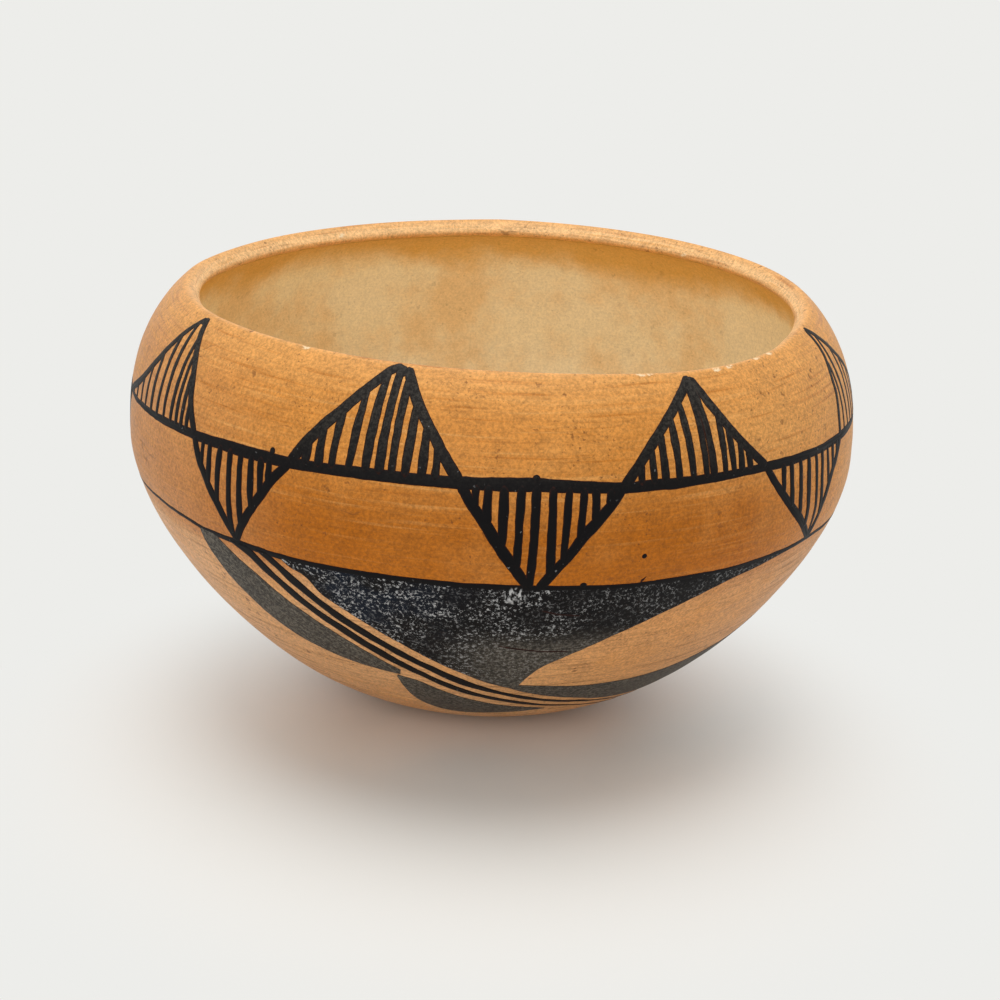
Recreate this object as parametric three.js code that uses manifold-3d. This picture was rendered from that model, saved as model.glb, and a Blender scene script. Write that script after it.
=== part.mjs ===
// A coil-built pottery bowl: a base dish, six wall coils and a rim coil stacked on each other,
// and the black slip painting that lies on the outside as thin films. Millimetres, +Z up.
// The origin is the middle of the foot, and the painted front faces -Y.
import * as THREE from "three";
import { mergeVertices } from "three/addons/utils/BufferGeometryUtils.js";
import Module from "manifold-3d";

const wasm = await Module();
wasm.setup();

// The form of the bowl
const bowlHeight = 112.5;
const widestRadius = 100;
const widestHeight = 73.2;
const lipCentreRadius = 84.2;
const footRadius = 34.6;
const wall = 5.6;
const footSlope = THREE.MathUtils.degToRad(11.7);
const lipSlope = THREE.MathUtils.degToRad(40);

// How full the wall's curve is, as shares of the width and height that each stretch covers
const footFullnessShare = 0.53;
const bellyFullnessShare = 0.286;
const shoulderFullnessShare = 0.283;
const lipFullnessShare = 0.428;

// The clay pieces
const baseDishHeight = 16;
const rimCoilHeight = 12.5;
const wallCoilCount = 6;

// The painting, measured along the wall: the belt of triangles goes from just under the outer edge
// of the lip down to a line below the widest circle, and a second line runs round its middle
const lowerLineFall = 10.3;
const middleLineShare = 0.5265;
const middleLineWidth = 3;
const lowerLineWidth = 1.8;
const apexDrop = 1.6;
const sideStrokeWidth = 3.4;
const hatchStrokeWidth = 2.2;
const hatchPitch = 4.3;
const fineLineWidth = 2.6;
const filmThickness = 0.3;
const filmGap = 0.35;
const paintGap = 0.3;

// How finely the round and curved faces are cut
const turnSteps = 60;
const coilSteps = 2;
const dishSteps = 4;
const lipSteps = 5;
const wingSteps = 12;
const wingRows = 5;
const patchSteps = 18;
const tailRows = 4;
const crescentRows = 2;
const beltBands = 4;

// Degrees round the bowl from the middle of the front, growing to the right. The zigzag crosses
// the middle line at the first list and turns back at the second, up at the rim and down at the
// lower line in turn. It was painted by eye, so the steps are uneven.
const crossingAngles = [
  -76.5, -48, -28.9, -4.1, 18.5, 43.1, 65.7, 90, 110.5, 134.5, 155, 179.5, 199.5, 224, 243.5, 265,
];
const apexAngles = [
  -59.2, -38.8, -14.6, 6.3, 32.5, 57.3, 73.5, 100, 122, 145, 167, 190, 211, 234, 254, 275,
];
// How far each triangle's hatching leans to the right over its height, as a share of its width
const hatchLeanShares = [
  -0.07, 0.03, 0.03, -0.01, -0.04, 0.04, 0.03, 0, 0.05, -0.02, -0.04, 0.03, 0.04, 0, -0.05, 0.02,
];

// The wing group below the belt: degrees, and shares of the way from the lower line to the foot
const wingGroupAngles = [0, 180];
const wingLeftShares = [[-29, 0.02], [-22, 0.115], [-10.3, 0.28], [-0.3, 0.416], [7, 0.45]];
const wingRightShares = [[7, 0.45], [14.3, 0.258], [24.2, 0.142], [37, 0.055], [57, 0.012]];
const tailHighShares = [[9.3, 0.462], [22.7, 0.463], [40.5, 0.438], [59.6, 0.375], [79, 0.19], [87, 0.01]];
const tailLowShares = [[10, 0.485], [30.5, 0.635], [48, 0.68], [70, 0.6], [86, 0.36], [92, 0.01]];
const innerFineLineShares = [
  [-31.5, 0.03], [-25.2, 0.136], [-10.7, 0.338], [-0.3, 0.468], [10.2, 0.543], [40, 0.71], [66, 0.79],
];
const outerFineLineShares = [
  [-36, 0.03], [-26.2, 0.195], [-11.3, 0.41], [-0.2, 0.53], [10.8, 0.6], [42, 0.765], [70, 0.85],
];
const crescentHighShares = [[-42.5, 0.005], [-35.2, 0.09], [-25.3, 0.252], [-15.5, 0.4]];
const crescentLowShares = [[-47, 0.005], [-45.6, 0.1], [-40.7, 0.21], [-29.8, 0.358], [-16.5, 0.414]];
const lowCrescentHighShares = [[-15.6, 0.44], [-10.2, 0.515], [-0.2, 0.605], [15.5, 0.665]];
const lowCrescentLowShares = [[-16.4, 0.46], [-14.9, 0.62], [-9, 0.702], [3.9, 0.695], [15, 0.675]];

function finish(color, roughness) {
  return new THREE.MeshStandardMaterial({ color, roughness, metalness: 0 });
}

const clay = finish("#cf9556", 0.62);
const blackSlip = finish("#211c1d", 0.55);

// The middle of the lip's round edge, and the line of the outer wall from the foot up to the lip
const halfWall = wall / 2;
const lipCentre = new THREE.Vector2(lipCentreRadius, bowlHeight - halfWall);
const lipEdge = new THREE.Vector2(
  lipCentre.x + halfWall * Math.sin(lipSlope),
  lipCentre.y + halfWall * Math.cos(lipSlope),
);
const wallLine = makeWallLine();
const wallLength = wallLine.getLength();

// How far up the wall from the foot's edge the widest circle and the painted lines lie
const widestY = wallLine.curves[0].getLength();
const lowerLineY = widestY - lowerLineFall;
const middleLineY = wallLength - (wallLength - lowerLineY) * middleLineShare;

function makeWallLine() {
  const foot = new THREE.Vector2(footRadius, 0);
  const widest = new THREE.Vector2(widestRadius, widestHeight);
  const footReach = footFullnessShare * (widestRadius - footRadius);
  const shoulderHeight = lipEdge.y - widestHeight;
  const lipReach = lipFullnessShare * shoulderHeight;
  const line = new THREE.CurvePath();
  line.add(new THREE.CubicBezierCurve(
    foot,
    new THREE.Vector2(foot.x + footReach * Math.cos(footSlope), footReach * Math.sin(footSlope)),
    new THREE.Vector2(widestRadius, widestHeight * (1 - bellyFullnessShare)),
    widest,
  ));
  line.add(new THREE.CubicBezierCurve(
    widest,
    new THREE.Vector2(widestRadius, widestHeight + shoulderHeight * shoulderFullnessShare),
    new THREE.Vector2(lipEdge.x + lipReach * Math.cos(lipSlope), lipEdge.y - lipReach * Math.sin(lipSlope)),
    lipEdge,
  ));
  return line;
}

// A point of the wall's section: share 0 is the foot's edge and 1 the lip's, and outward is how
// far it stands off the outer face
function wallPoint(share, outward) {
  const point = wallLine.getPointAt(share);
  const along = wallLine.getTangentAt(share);
  return new THREE.Vector2(point.x + along.y * outward, point.y - along.x * outward);
}

// The share at which a face of the wall reaches a height, by halving
function shareAtHeight(height, outward) {
  let low = 0;
  let high = 1;
  for (let round = 0; round < 40; round += 1) {
    const middle = (low + high) / 2;
    if (wallPoint(middle, outward).y < height) {
      low = middle;
    } else {
      high = middle;
    }
  }
  return (low + high) / 2;
}

// One face of the wall between two shares, as section points
function wallStretch(fromShare, toShare, outward, steps) {
  const points = [];
  for (let step = 0; step <= steps; step += 1) {
    points.push(wallPoint(fromShare + (toShare - fromShare) * (step / steps), outward));
  }
  return points;
}

// The same between two heights, whose ends lie at exactly those heights
function faceBetween(fromHeight, toHeight, outward, steps) {
  const points = wallStretch(
    shareAtHeight(fromHeight, outward), shareAtHeight(toHeight, outward), outward, steps,
  );
  points[0].y = fromHeight;
  points[steps].y = toHeight;
  return points;
}

function namedMesh(name, geometry, material) {
  geometry.computeVertexNormals();
  const mesh = new THREE.Mesh(geometry, material);
  mesh.name = name;
  return mesh;
}

// A ring or a dish turned about the bowl's axis from a section
function turned(name, section, material) {
  const geometry = new THREE.LatheGeometry(section, turnSteps);
  geometry.rotateX(Math.PI / 2);
  geometry.deleteAttribute("normal");
  geometry.deleteAttribute("uv");
  return namedMesh(name, mergeVertices(geometry), material);
}

function baseDish() {
  const axisBottom = new THREE.Vector2(0, 0);
  const outside = faceBetween(0, baseDishHeight, 0, dishSteps);
  const floorEdge = wallPoint(0, -wall);
  const topInside = shareAtHeight(baseDishHeight, -wall);
  const inside = wallStretch(topInside, 0, -wall, dishSteps);
  inside[0].y = baseDishHeight;
  const axisTop = new THREE.Vector2(0, floorEdge.y);
  return turned("base_dish", [axisBottom, ...outside, ...inside, axisTop], clay);
}

function wallCoil(name, bottom, top) {
  const outside = faceBetween(bottom, top, 0, coilSteps);
  const inside = faceBetween(top, bottom, -wall, coilSteps);
  return turned(name, [...outside, ...inside, outside[0].clone()], clay);
}

function rimCoil(bottom) {
  const outside = wallStretch(shareAtHeight(bottom, 0), 1, 0, coilSteps);
  outside[0].y = bottom;
  const overTheTop = [];
  for (let step = 1; step < lipSteps; step += 1) {
    const turn = Math.PI / 2 - lipSlope + Math.PI * (step / lipSteps);
    overTheTop.push(new THREE.Vector2(
      lipCentre.x + halfWall * Math.cos(turn),
      lipCentre.y + halfWall * Math.sin(turn),
    ));
  }
  const inside = wallStretch(1, shareAtHeight(bottom, -wall), -wall, coilSteps);
  inside[coilSteps].y = bottom;
  return turned("rim_coil", [...outside, ...overTheTop, ...inside, outside[0].clone()], clay);
}

function clayPieces() {
  const rimBottom = bowlHeight - rimCoilHeight;
  const coilHeight = (rimBottom - baseDishHeight) / wallCoilCount;
  const pieces = [baseDish()];
  for (let coil = 1; coil <= wallCoilCount; coil += 1) {
    const bottom = baseDishHeight + coilHeight * (coil - 1);
    const top = baseDishHeight + coilHeight * coil;
    pieces.push(wallCoil(`wall_coil_${coil}`, bottom, top));
  }
  pieces.push(rimCoil(rimBottom));
  return pieces;
}

// The painting is drawn on the unrolled wall: x runs round the bowl at its widest radius, and y
// runs up the outer face from the foot
function turnX(angle) {
  return THREE.MathUtils.degToRad(angle) * widestRadius;
}

function bellyY(share) {
  return (lowerLineY - lowerLineWidth / 2 - paintGap) * (1 - share);
}

// Where a point of the unrolled wall lies in space
function onWall(x, y, outward) {
  const angle = x / widestRadius;
  const onSection = wallPoint(y / wallLength, outward);
  return [onSection.x * Math.sin(angle), -onSection.x * Math.cos(angle), onSection.y];
}

function flatPoints(angleShares, turnedBy) {
  return angleShares.map(([angle, share]) => new THREE.Vector2(turnX(angle + turnedBy), bellyY(share)));
}

// A line painted right round the bowl
function roundLine(name, middleY, width) {
  const lowShare = (middleY - width / 2) / wallLength;
  const highShare = (middleY + width / 2) / wallLength;
  const outer = wallStretch(lowShare, highShare, filmGap + filmThickness, 1);
  const inner = wallStretch(highShare, lowShare, filmGap, 1);
  return turned(name, [...outer, ...inner, outer[0].clone()], blackSlip);
}

// A strip of film that runs up or down the wall between two straight edges, as a closed solid for
// joining and cutting. It is unrolled sideways only: x runs round the bowl, and the other two
// directions are the wall's section. Its corners lie at the given levels, so that strips with the
// same levels share the planes of their faces.
function strip(levels, startX, endX) {
  const corners = [];
  levels.forEach((level, row) => {
    const along = row / (levels.length - 1);
    for (const outward of [filmGap, filmGap + filmThickness]) {
      const onSection = wallPoint(level / wallLength, outward);
      for (const side of [0, 1]) {
        const x = THREE.MathUtils.lerp(startX[side], endX[side], along);
        corners.push(x, -onSection.x, onSection.y);
      }
    }
  });
  const cornerCount = 4;
  const round = [0, 2, 3, 1];
  const faces = [0, 1, 3, 0, 3, 2];
  for (let first = 0; first < cornerCount * (levels.length - 1); first += cornerCount) {
    for (let side = 0; side < cornerCount; side += 1) {
      const here = first + round[side];
      const next = first + round[(side + 1) % cornerCount];
      faces.push(here, next, next + cornerCount, here, next + cornerCount, here + cornerCount);
    }
  }
  const top = cornerCount * (levels.length - 1);
  faces.push(top, top + 3, top + 1, top, top + 2, top + 3);
  if (levels[0] > levels[1]) {
    faces.reverse();
  }
  return new wasm.Manifold(new wasm.Mesh({
    numProp: 3, vertProperties: new Float32Array(corners), triVerts: new Uint32Array(faces),
  }));
}

// Rolls a solid made of such strips round the bowl
function rolledUp(name, solid) {
  const { vertProperties, triVerts } = solid.getMesh();
  const positions = [];
  for (let first = 0; first < vertProperties.length; first += 3) {
    const [x, y, z] = vertProperties.slice(first, first + 3);
    const angle = x / widestRadius;
    positions.push(-y * Math.sin(angle), y * Math.cos(angle), z);
  }
  const geometry = new THREE.BufferGeometry();
  geometry.setAttribute("position", new THREE.Float32BufferAttribute(positions, 3));
  geometry.setIndex(Array.from(triVerts));
  return namedMesh(name, geometry, blackSlip);
}

// A triangle of two long strokes, with hatching that stands on its base and stops at them
function hatchedTriangle(name, left, right, apex, leanShare) {
  const width = right.x - left.x;
  const strokeCount = Math.max(1, Math.round(width / hatchPitch) - 1);
  const levels = [];
  for (let band = 0; band <= beltBands; band += 1) {
    levels.push(THREE.MathUtils.lerp(left.y, apex.y, band / beltBands));
  }
  const stroke = (fromX, toX, strokeWidth) => {
    const half = strokeWidth / 2;
    return strip(levels, [fromX - half, fromX + half], [toX - half, toX + half]);
  };
  let hatching = null;
  for (let k = 1; k <= strokeCount; k += 1) {
    const fromX = left.x + width * (k / (strokeCount + 1));
    const next = stroke(fromX, fromX + leanShare * width, hatchStrokeWidth);
    hatching = hatching ? hatching.add(next) : next;
  }
  const tip = sideStrokeWidth / 4;
  const field = strip(levels, [left.x, right.x], [apex.x - tip, apex.x + tip]);
  const sides = stroke(left.x, apex.x, sideStrokeWidth).add(stroke(right.x, apex.x, sideStrokeWidth));
  return rolledUp(name, sides.add(hatching.intersect(field)));
}

function triangleBelt() {
  const aboveLine = middleLineY + middleLineWidth / 2 + paintGap;
  const belowLine = middleLineY - middleLineWidth / 2 - paintGap;
  const upperApex = wallLength - apexDrop;
  const lowerApex = lowerLineY + lowerLineWidth / 2 + paintGap;
  return crossingAngles.map((angle, index) => {
    const nextAngle = crossingAngles[index + 1] ?? crossingAngles[0] + 360;
    const isUpper = index % 2 === 0;
    const baseY = isUpper ? aboveLine : belowLine;
    const left = new THREE.Vector2(turnX(angle), baseY);
    const right = new THREE.Vector2(turnX(nextAngle), baseY);
    const apex = new THREE.Vector2(turnX(apexAngles[index]), isUpper ? upperApex : lowerApex);
    const number = Math.floor(index / 2) + 1;
    const name = `${isUpper ? "upper" : "lower"}_triangle_${number}`;
    return hatchedTriangle(name, left, right, apex, hatchLeanShares[index]);
  });
}

// A painted patch between two edges that run the same way with as many points each. It is made
// of rows of small faces, outside and inside, so that it follows the wall.
function patch(name, lowEdge, highEdge, rows) {
  const stations = lowEdge.length;
  const positions = [];
  for (const outward of [filmGap, filmGap + filmThickness]) {
    for (let row = 0; row <= rows; row += 1) {
      for (let station = 0; station < stations; station += 1) {
        const flat = lowEdge[station].clone().lerp(highEdge[station], row / rows);
        positions.push(...onWall(flat.x, flat.y, outward));
      }
    }
  }
  const layer = stations * (rows + 1);
  const indices = [];
  const addQuad = (a, b, c, d) => indices.push(a, b, c, a, c, d);
  for (let row = 0; row < rows; row += 1) {
    for (let station = 0; station < stations - 1; station += 1) {
      const corner = row * stations + station;
      const above = corner + stations;
      addQuad(layer + corner, layer + corner + 1, layer + above + 1, layer + above);
      addQuad(corner, above, above + 1, corner + 1);
    }
  }
  const top = rows * stations;
  for (let station = 0; station < stations - 1; station += 1) {
    addQuad(station, station + 1, layer + station + 1, layer + station);
    addQuad(top + station + 1, top + station, layer + top + station, layer + top + station + 1);
  }
  const last = stations - 1;
  for (let row = 0; row < rows; row += 1) {
    const corner = row * stations;
    addQuad(corner + stations, corner, layer + corner, layer + corner + stations);
    addQuad(corner + last, corner + stations + last, layer + corner + stations + last, layer + corner + last);
  }
  const geometry = new THREE.BufferGeometry();
  geometry.setAttribute("position", new THREE.Float32BufferAttribute(positions, 3));
  geometry.setIndex(indices);
  return namedMesh(name, geometry, blackSlip);
}

// A smooth edge through its points, cut into even steps
function smoothEdge(points, steps) {
  return new THREE.SplineCurve(points).getSpacedPoints(steps);
}

// The wing hangs from the lower line: its top is straight above every point of its lower edge
function wing(name, leftEdge, rightEdge) {
  const lowEdge = [
    ...smoothEdge(leftEdge, wingSteps),
    ...smoothEdge(rightEdge, wingSteps).slice(1),
  ];
  const highEdge = lowEdge.map((point) => new THREE.Vector2(point.x, bellyY(0)));
  return patch(name, lowEdge, highEdge, wingRows);
}

function sweptPatch(name, lowEdge, highEdge, rows) {
  return patch(name, smoothEdge(lowEdge, patchSteps), smoothEdge(highEdge, patchSteps), rows);
}

// A brush line of even width along a smooth curve
function fineLine(name, points) {
  const curve = new THREE.SplineCurve(points);
  const lowEdge = [];
  const highEdge = [];
  for (let step = 0; step <= patchSteps; step += 1) {
    const middle = curve.getPointAt(step / patchSteps);
    const along = curve.getTangentAt(step / patchSteps);
    const aside = new THREE.Vector2(-along.y, along.x).multiplyScalar(fineLineWidth / 2);
    highEdge.push(middle.clone().add(aside));
    lowEdge.push(middle.clone().sub(aside));
  }
  return patch(name, lowEdge, highEdge, 1);
}

function wingGroup(number, turnedBy) {
  const edge = (shares) => flatPoints(shares, turnedBy);
  return [
    wing(`wing_${number}`, edge(wingLeftShares), edge(wingRightShares)),
    sweptPatch(`tail_${number}`, edge(tailLowShares), edge(tailHighShares), tailRows),
    sweptPatch(`crescent_${number}`, edge(crescentLowShares), edge(crescentHighShares), crescentRows),
    sweptPatch(
      `low_crescent_${number}`, edge(lowCrescentLowShares), edge(lowCrescentHighShares), crescentRows,
    ),
    fineLine(`fine_line_${number}a`, edge(innerFineLineShares)),
    fineLine(`fine_line_${number}b`, edge(outerFineLineShares)),
  ];
}

const bowl = new THREE.Group();
bowl.add(...clayPieces());
bowl.add(roundLine("middle_line", middleLineY, middleLineWidth));
bowl.add(roundLine("lower_line", lowerLineY, lowerLineWidth));
bowl.add(...triangleBelt());
wingGroupAngles.forEach((angle, index) => bowl.add(...wingGroup(index + 1, angle)));

export default bowl;
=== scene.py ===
"""A coil-built pottery bowl: burnished clay walls with black slip painting, on a pale floor."""
import math

import bmesh
import bpy
import numpy as np
from mathutils import Matrix, Vector


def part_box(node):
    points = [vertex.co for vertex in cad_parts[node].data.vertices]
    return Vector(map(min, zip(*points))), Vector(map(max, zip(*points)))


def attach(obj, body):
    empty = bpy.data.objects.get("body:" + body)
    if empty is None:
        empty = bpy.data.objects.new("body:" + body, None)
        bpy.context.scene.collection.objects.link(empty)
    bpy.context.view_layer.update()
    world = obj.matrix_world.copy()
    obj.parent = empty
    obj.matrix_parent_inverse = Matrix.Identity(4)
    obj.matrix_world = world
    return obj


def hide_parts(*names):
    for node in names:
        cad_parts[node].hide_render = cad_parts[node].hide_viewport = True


bl_info = {
    "name": "Painted pottery bowl",
    "version": (1, 0, 0),
    "blender": (4, 5, 0),
    "location": "View3D > Sidebar > Bowl",
    "description": "Builds a coil-built clay bowl with black slip painting around its packed frame",
    "category": "Add Mesh",
}

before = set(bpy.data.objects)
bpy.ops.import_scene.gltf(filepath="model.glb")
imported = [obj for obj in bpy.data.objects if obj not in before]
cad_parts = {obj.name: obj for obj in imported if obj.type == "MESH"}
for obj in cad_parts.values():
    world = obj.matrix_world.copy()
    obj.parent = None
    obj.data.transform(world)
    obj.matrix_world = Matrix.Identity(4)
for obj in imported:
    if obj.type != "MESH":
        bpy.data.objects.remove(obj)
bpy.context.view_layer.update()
MM = 0.001
COIL_COUNT = 6


# Values read from the frame, which the sliders below start from

def box_radius(node):
    """Half the width of a node that is round about the axis."""
    low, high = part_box(node)
    return (high.x - low.x) / 2


BOWL_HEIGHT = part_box("rim_coil")[1].z
WIDEST_RADIUS = box_radius("wall_coil_5")
WIDEST_HEIGHT = 73.2 * MM
COIL_LEVELS = [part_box("base_dish")[1].z] + [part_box("wall_coil_%d" % k)[1].z for k in range(1, COIL_COUNT + 1)]


# The sizes and colours that a user would change

def number_slider(name, description, value, **kind):
    """A slider for a number."""
    return bpy.props.FloatProperty(name=name, description=description, default=value, **kind)


def length_slider(name, description, value):
    """A slider for a length in metres."""
    return number_slider(name, description, value, unit="LENGTH")


def share_slider(name, description, value):
    """A slider for a share of something."""
    return number_slider(name, description, value, subtype="FACTOR")


def angle_slider(name, description, degrees):
    """A slider for an angle."""
    return number_slider(name, description, math.radians(degrees), subtype="ANGLE")


def colour_slider(name, description, shade):
    """A colour slider from values of 0 to 255, kept as the linear light that shaders read."""
    def linear(value):
        value /= 255
        return value / 12.92 if value <= 0.04045 else ((value + 0.055) / 1.055) ** 2.4
    return bpy.props.FloatVectorProperty(
        name=name, description=description, subtype="COLOR", size=3, min=0.0, max=1.0,
        default=tuple(linear(value) for value in shade))


class BowlForm(bpy.types.PropertyGroup):
    """The wall's section."""
    height: length_slider("Height", "From the foot to the top of the lip", BOWL_HEIGHT - 0.1 * MM)
    widest_radius: length_slider("Widest radius", "Radius of the belly", WIDEST_RADIUS)
    widest_height: length_slider("Widest height", "Height of the belly above the foot", WIDEST_HEIGHT)
    lip_radius: length_slider("Lip radius", "Radius at the middle of the lip", 84.2 * MM)
    foot_radius: length_slider("Foot radius", "Radius of the flat underside", 34.6 * MM)
    wall: length_slider("Wall", "Thickness of the clay", 5.6 * MM)
    foot_slope: angle_slider("Foot slope", "Rise of the wall as it leaves the foot", 11.7)
    lip_slope: angle_slider("Lip slope", "Rise of the shoulder as it meets the lip", 40)
    foot_fullness: share_slider("Foot fullness", "Reach of the lower curve from the foot", 0.53)
    belly_fullness: share_slider("Belly fullness", "Reach of the lower curve from the belly", 0.286)
    shoulder_fullness: share_slider("Shoulder fullness", "Reach of the upper curve from the belly", 0.283)
    lip_fullness: share_slider("Lip fullness", "Reach of the upper curve from the lip", 0.428)
    lip_squareness: number_slider("Lip squareness", "2 is a round lip, more is flatter with a firmer outer edge", 2.7)
    lip_corner: number_slider("Lip corner", "The same for the lip's inner edge", 4.4)
    undercut: length_slider("Undercut", "How far the wall is drawn in behind the lip's inner edge", 1.5 * MM)
    dent: length_slider("Hollow of the foot", "How far the middle of the underside is drawn up", 0.7 * MM)
    turn_steps: bpy.props.IntProperty(name="Steps round", description="Faces round the bowl", default=720)


class BowlHand(bpy.types.PropertyGroup):
    """How far the hand-made form strays from a turned one."""
    swell: length_slider("Swell", "Broad unevenness of the wall", 0.45 * MM)
    swell_size: length_slider("Swell size", "Width of the broad unevenness", 55 * MM)
    dimple: length_slider("Dimple", "Depth of the marks of scraping and stone polishing", 0.07 * MM)
    dimple_size: length_slider("Dimple size", "Width of those marks", 9 * MM)
    wobble: length_slider("Brush wobble", "How far a painted edge strays", 0.16 * MM)
    wobble_size: length_slider("Brush wobble size", "Length of a stray of the brush", 4.5 * MM)


class BowlPainting(bpy.types.PropertyGroup):
    """The black painting, measured along the wall."""
    lower_fall: length_slider("Lower line", "Distance of the lower line below the widest circle", 10.3 * MM)
    middle_share: share_slider("Middle line", "Where the middle line divides the belt, from the lip down", 0.5265)
    middle_width: length_slider("Middle line width", "Width of the middle line", 3.0 * MM)
    lower_width: length_slider("Lower line width", "Width of the lower line", 1.7 * MM)
    side_width: length_slider("Side stroke width", "Width of the triangles' long strokes", 2.8 * MM)
    hatch_width: length_slider("Hatch stroke width", "Width of the hatching strokes", 2.15 * MM)
    thickness: length_slider("Slip thickness", "How far the dried slip stands off the clay", 0.05 * MM)


class BowlColours(bpy.types.PropertyGroup):
    """The colours of the clay and the slip, painted light, shade and sheen among them."""
    clay: colour_slider("Clay", "Burnished outside", (205, 136, 60))
    # Deep clay: partly richer clay along the belt, and partly painted shade where the belly turns away from the
    # light.
    clay_deep_and_shade: colour_slider("Deep clay", "Where the outside is richer, along the belt", (172, 97, 5))
    # Pale clay: lighter fired clay, and also painted light on the outside's right side.
    clay_pale_and_lit: colour_slider("Pale clay", "Where the outside fired lighter", (222, 162, 92))
    # Pink clay: the outside is pinker and paler towards its left side.
    clay_pink: colour_slider("Pink clay", "A flush of the fire on one side", (198, 140, 84))
    clay_low: colour_slider("Low clay", "The paler clay under the belly", (216, 166, 116))
    # Painted highlight: the top of the lip, which faces the light, is painted pale.
    lip: colour_slider("Lip", "The pale top of the lip", (248, 206, 150))
    inside: colour_slider("Inside", "The unslipped inside", (242, 224, 184))
    inside_stain: colour_slider("Inside stain", "Stains of use inside", (232, 192, 132))
    # A darker orange band inside, just below the lip.
    inside_band: colour_slider("Band under the lip", "Where the outside's colour runs over the lip", (217, 166, 81))
    # Grit is also the colour of the painted shade just under the lip's inner edge.
    grit: colour_slider("Grit", "Dark grains in the clay", (96, 52, 20))
    bare: colour_slider("Bare clay", "Chipped edges", (240, 216, 176))
    slip: colour_slider("Slip", "The black paint", (11, 9, 11))
    # Painted sheen: grey where light glances off the broad painted shapes and the upper triangles.
    slip_sheen: colour_slider("Slip bloom", "Grey bloom on the broad painted shapes", (118, 112, 102))
    slip_blue: colour_slider("Slip blue", "Blue cast in the black paint", (10, 20, 34))
    slip_thin: colour_slider("Thin slip", "Where the black paint is thin", (50, 20, 12))
    dust: colour_slider("Dust", "Pale specks worn into the paint", (186, 188, 190))


class BowlStage(bpy.types.PropertyGroup):
    """The floor, the lamps and the camera."""
    lens: number_slider("Lens", "Focal length in millimetres", 72.0)
    distance: length_slider("Camera distance", "From the middle of the bowl", 0.5679)
    elevation: angle_slider("Camera elevation", "Above the horizon", 19.36)
    roll: angle_slider("Camera roll", "Turn about the line of sight", 2.38)
    floor: colour_slider("Floor", "Pale floor", (234, 230, 223))
    backdrop: colour_slider("Backdrop", "What the camera sees away from the bowl", (237, 237, 234))


# Where the middle of the bowl lies in the picture, in its own pixels
PICTURE_SIZE = 1000
PICTURE_MIDDLE = (489.9, 477.6)

# Degrees round the bowl from the middle of the front, growing to the right. The zigzag crosses the
# middle line at the first list and turns back at the second, up at the rim and down at the lower line.
CROSSING_ANGLES = [-76.5, -48, -28.9, -4.1, 18.5, 43.1, 65.7, 90, 110.5, 134.5, 155, 179.5, 199.5, 224, 243.5, 265]
APEX_ANGLES = [-59.2, -38.8, -14.6, 6.6, 32.3, 57.3, 72, 100, 122, 145, 167, 190, 211, 234, 254, 275]
# How far below the lip's outer edge each upper triangle's point lies, in millimetres
APEX_INSETS = [0.4, 0, -0.6, 0, 2.4, 0, 0.9, 0, 1.2, 0, 0.8, 0, 1.6, 0, 1.0, 0]
# The two long strokes of the triangles in front: degrees, and shares of the way from the middle line
# to the lip's outer edge, or to the lower line
SIDE_ROUTES = {
    0: ([(-76.7, 0), (-71.2, 0.16), (-68, 0.3), (-65.2, 0.47), (-63.2, 0.63), (-61.2, 0.8), (-58.6, 0.99)],
        [(-48.1, 0), (-49.8, 0.16), (-51, 0.28), (-52.2, 0.44), (-53.6, 0.58), (-55.2, 0.71), (-56.7, 0.84),
         (-58.3, 1.0)]),
    1: ([(-48, 0), (-46.3, 0.22), (-44.8, 0.36), (-43.3, 0.5), (-41.8, 0.62), (-40.3, 0.77), (-39.1, 0.91),
         (-38.5, 1)],
        [(-29, 0), (-31.6, 0.2), (-33.6, 0.4), (-35.7, 0.62), (-37.1, 0.78), (-38.9, 1)]),
    2: ([(-29, 0), (-26.6, 0.22), (-24.2, 0.4), (-22, 0.55), (-19.7, 0.72), (-17.6, 0.87), (-16.4, 0.96),
         (-14.5, 1.02)],
        [(-4.1, 0), (-6.4, 0.22), (-8.2, 0.4), (-10.2, 0.58), (-11.7, 0.74), (-12.7, 0.87), (-13.8, 1.01)]),
    3: ([(-4, 0), (-2.3, 0.19), (-0.3, 0.37), (1.6, 0.57), (3.6, 0.76), (5.3, 0.93), (6.2, 1.02)],
        [(18.5, 0), (16.6, 0.18), (14.7, 0.33), (12.8, 0.48), (11.2, 0.64), (9.4, 0.8), (7.2, 1.02)]),
    4: ([(18.5, 0), (21, 0.2), (24.3, 0.46), (27.8, 0.71), (30.6, 0.89), (32.1, 1.0)],
        [(43.1, 0), (40.4, 0.17), (37.5, 0.37), (35, 0.6), (33.2, 0.82), (32.3, 0.99)]),
    5: ([(43.1, 0), (45.3, 0.21), (48.7, 0.46), (52.7, 0.71), (56.3, 0.94), (57.3, 1)],
        [(65.7, 0), (63.7, 0.2), (61.6, 0.36), (60, 0.53), (58.7, 0.72), (57.2, 1)]),
    6: ([(65.7, 0), (66, 0.2), (66.7, 0.36), (67.4, 0.55), (68.8, 0.73), (69.3, 0.88), (69.1, 1.02)],
        [(90, 0), (85.6, 0.15), (81.3, 0.34), (77.7, 0.51), (74.2, 0.72), (72, 0.87), (69.3, 1.03)]),
}
# How wide each of those triangles' strokes are drawn, as a share of the usual width
STROKE_SHARES = {0: 0.84, 1: 0.88, 2: 1.04, 4: 0.95, 5: 0.85, 6: 0.72}
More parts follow.
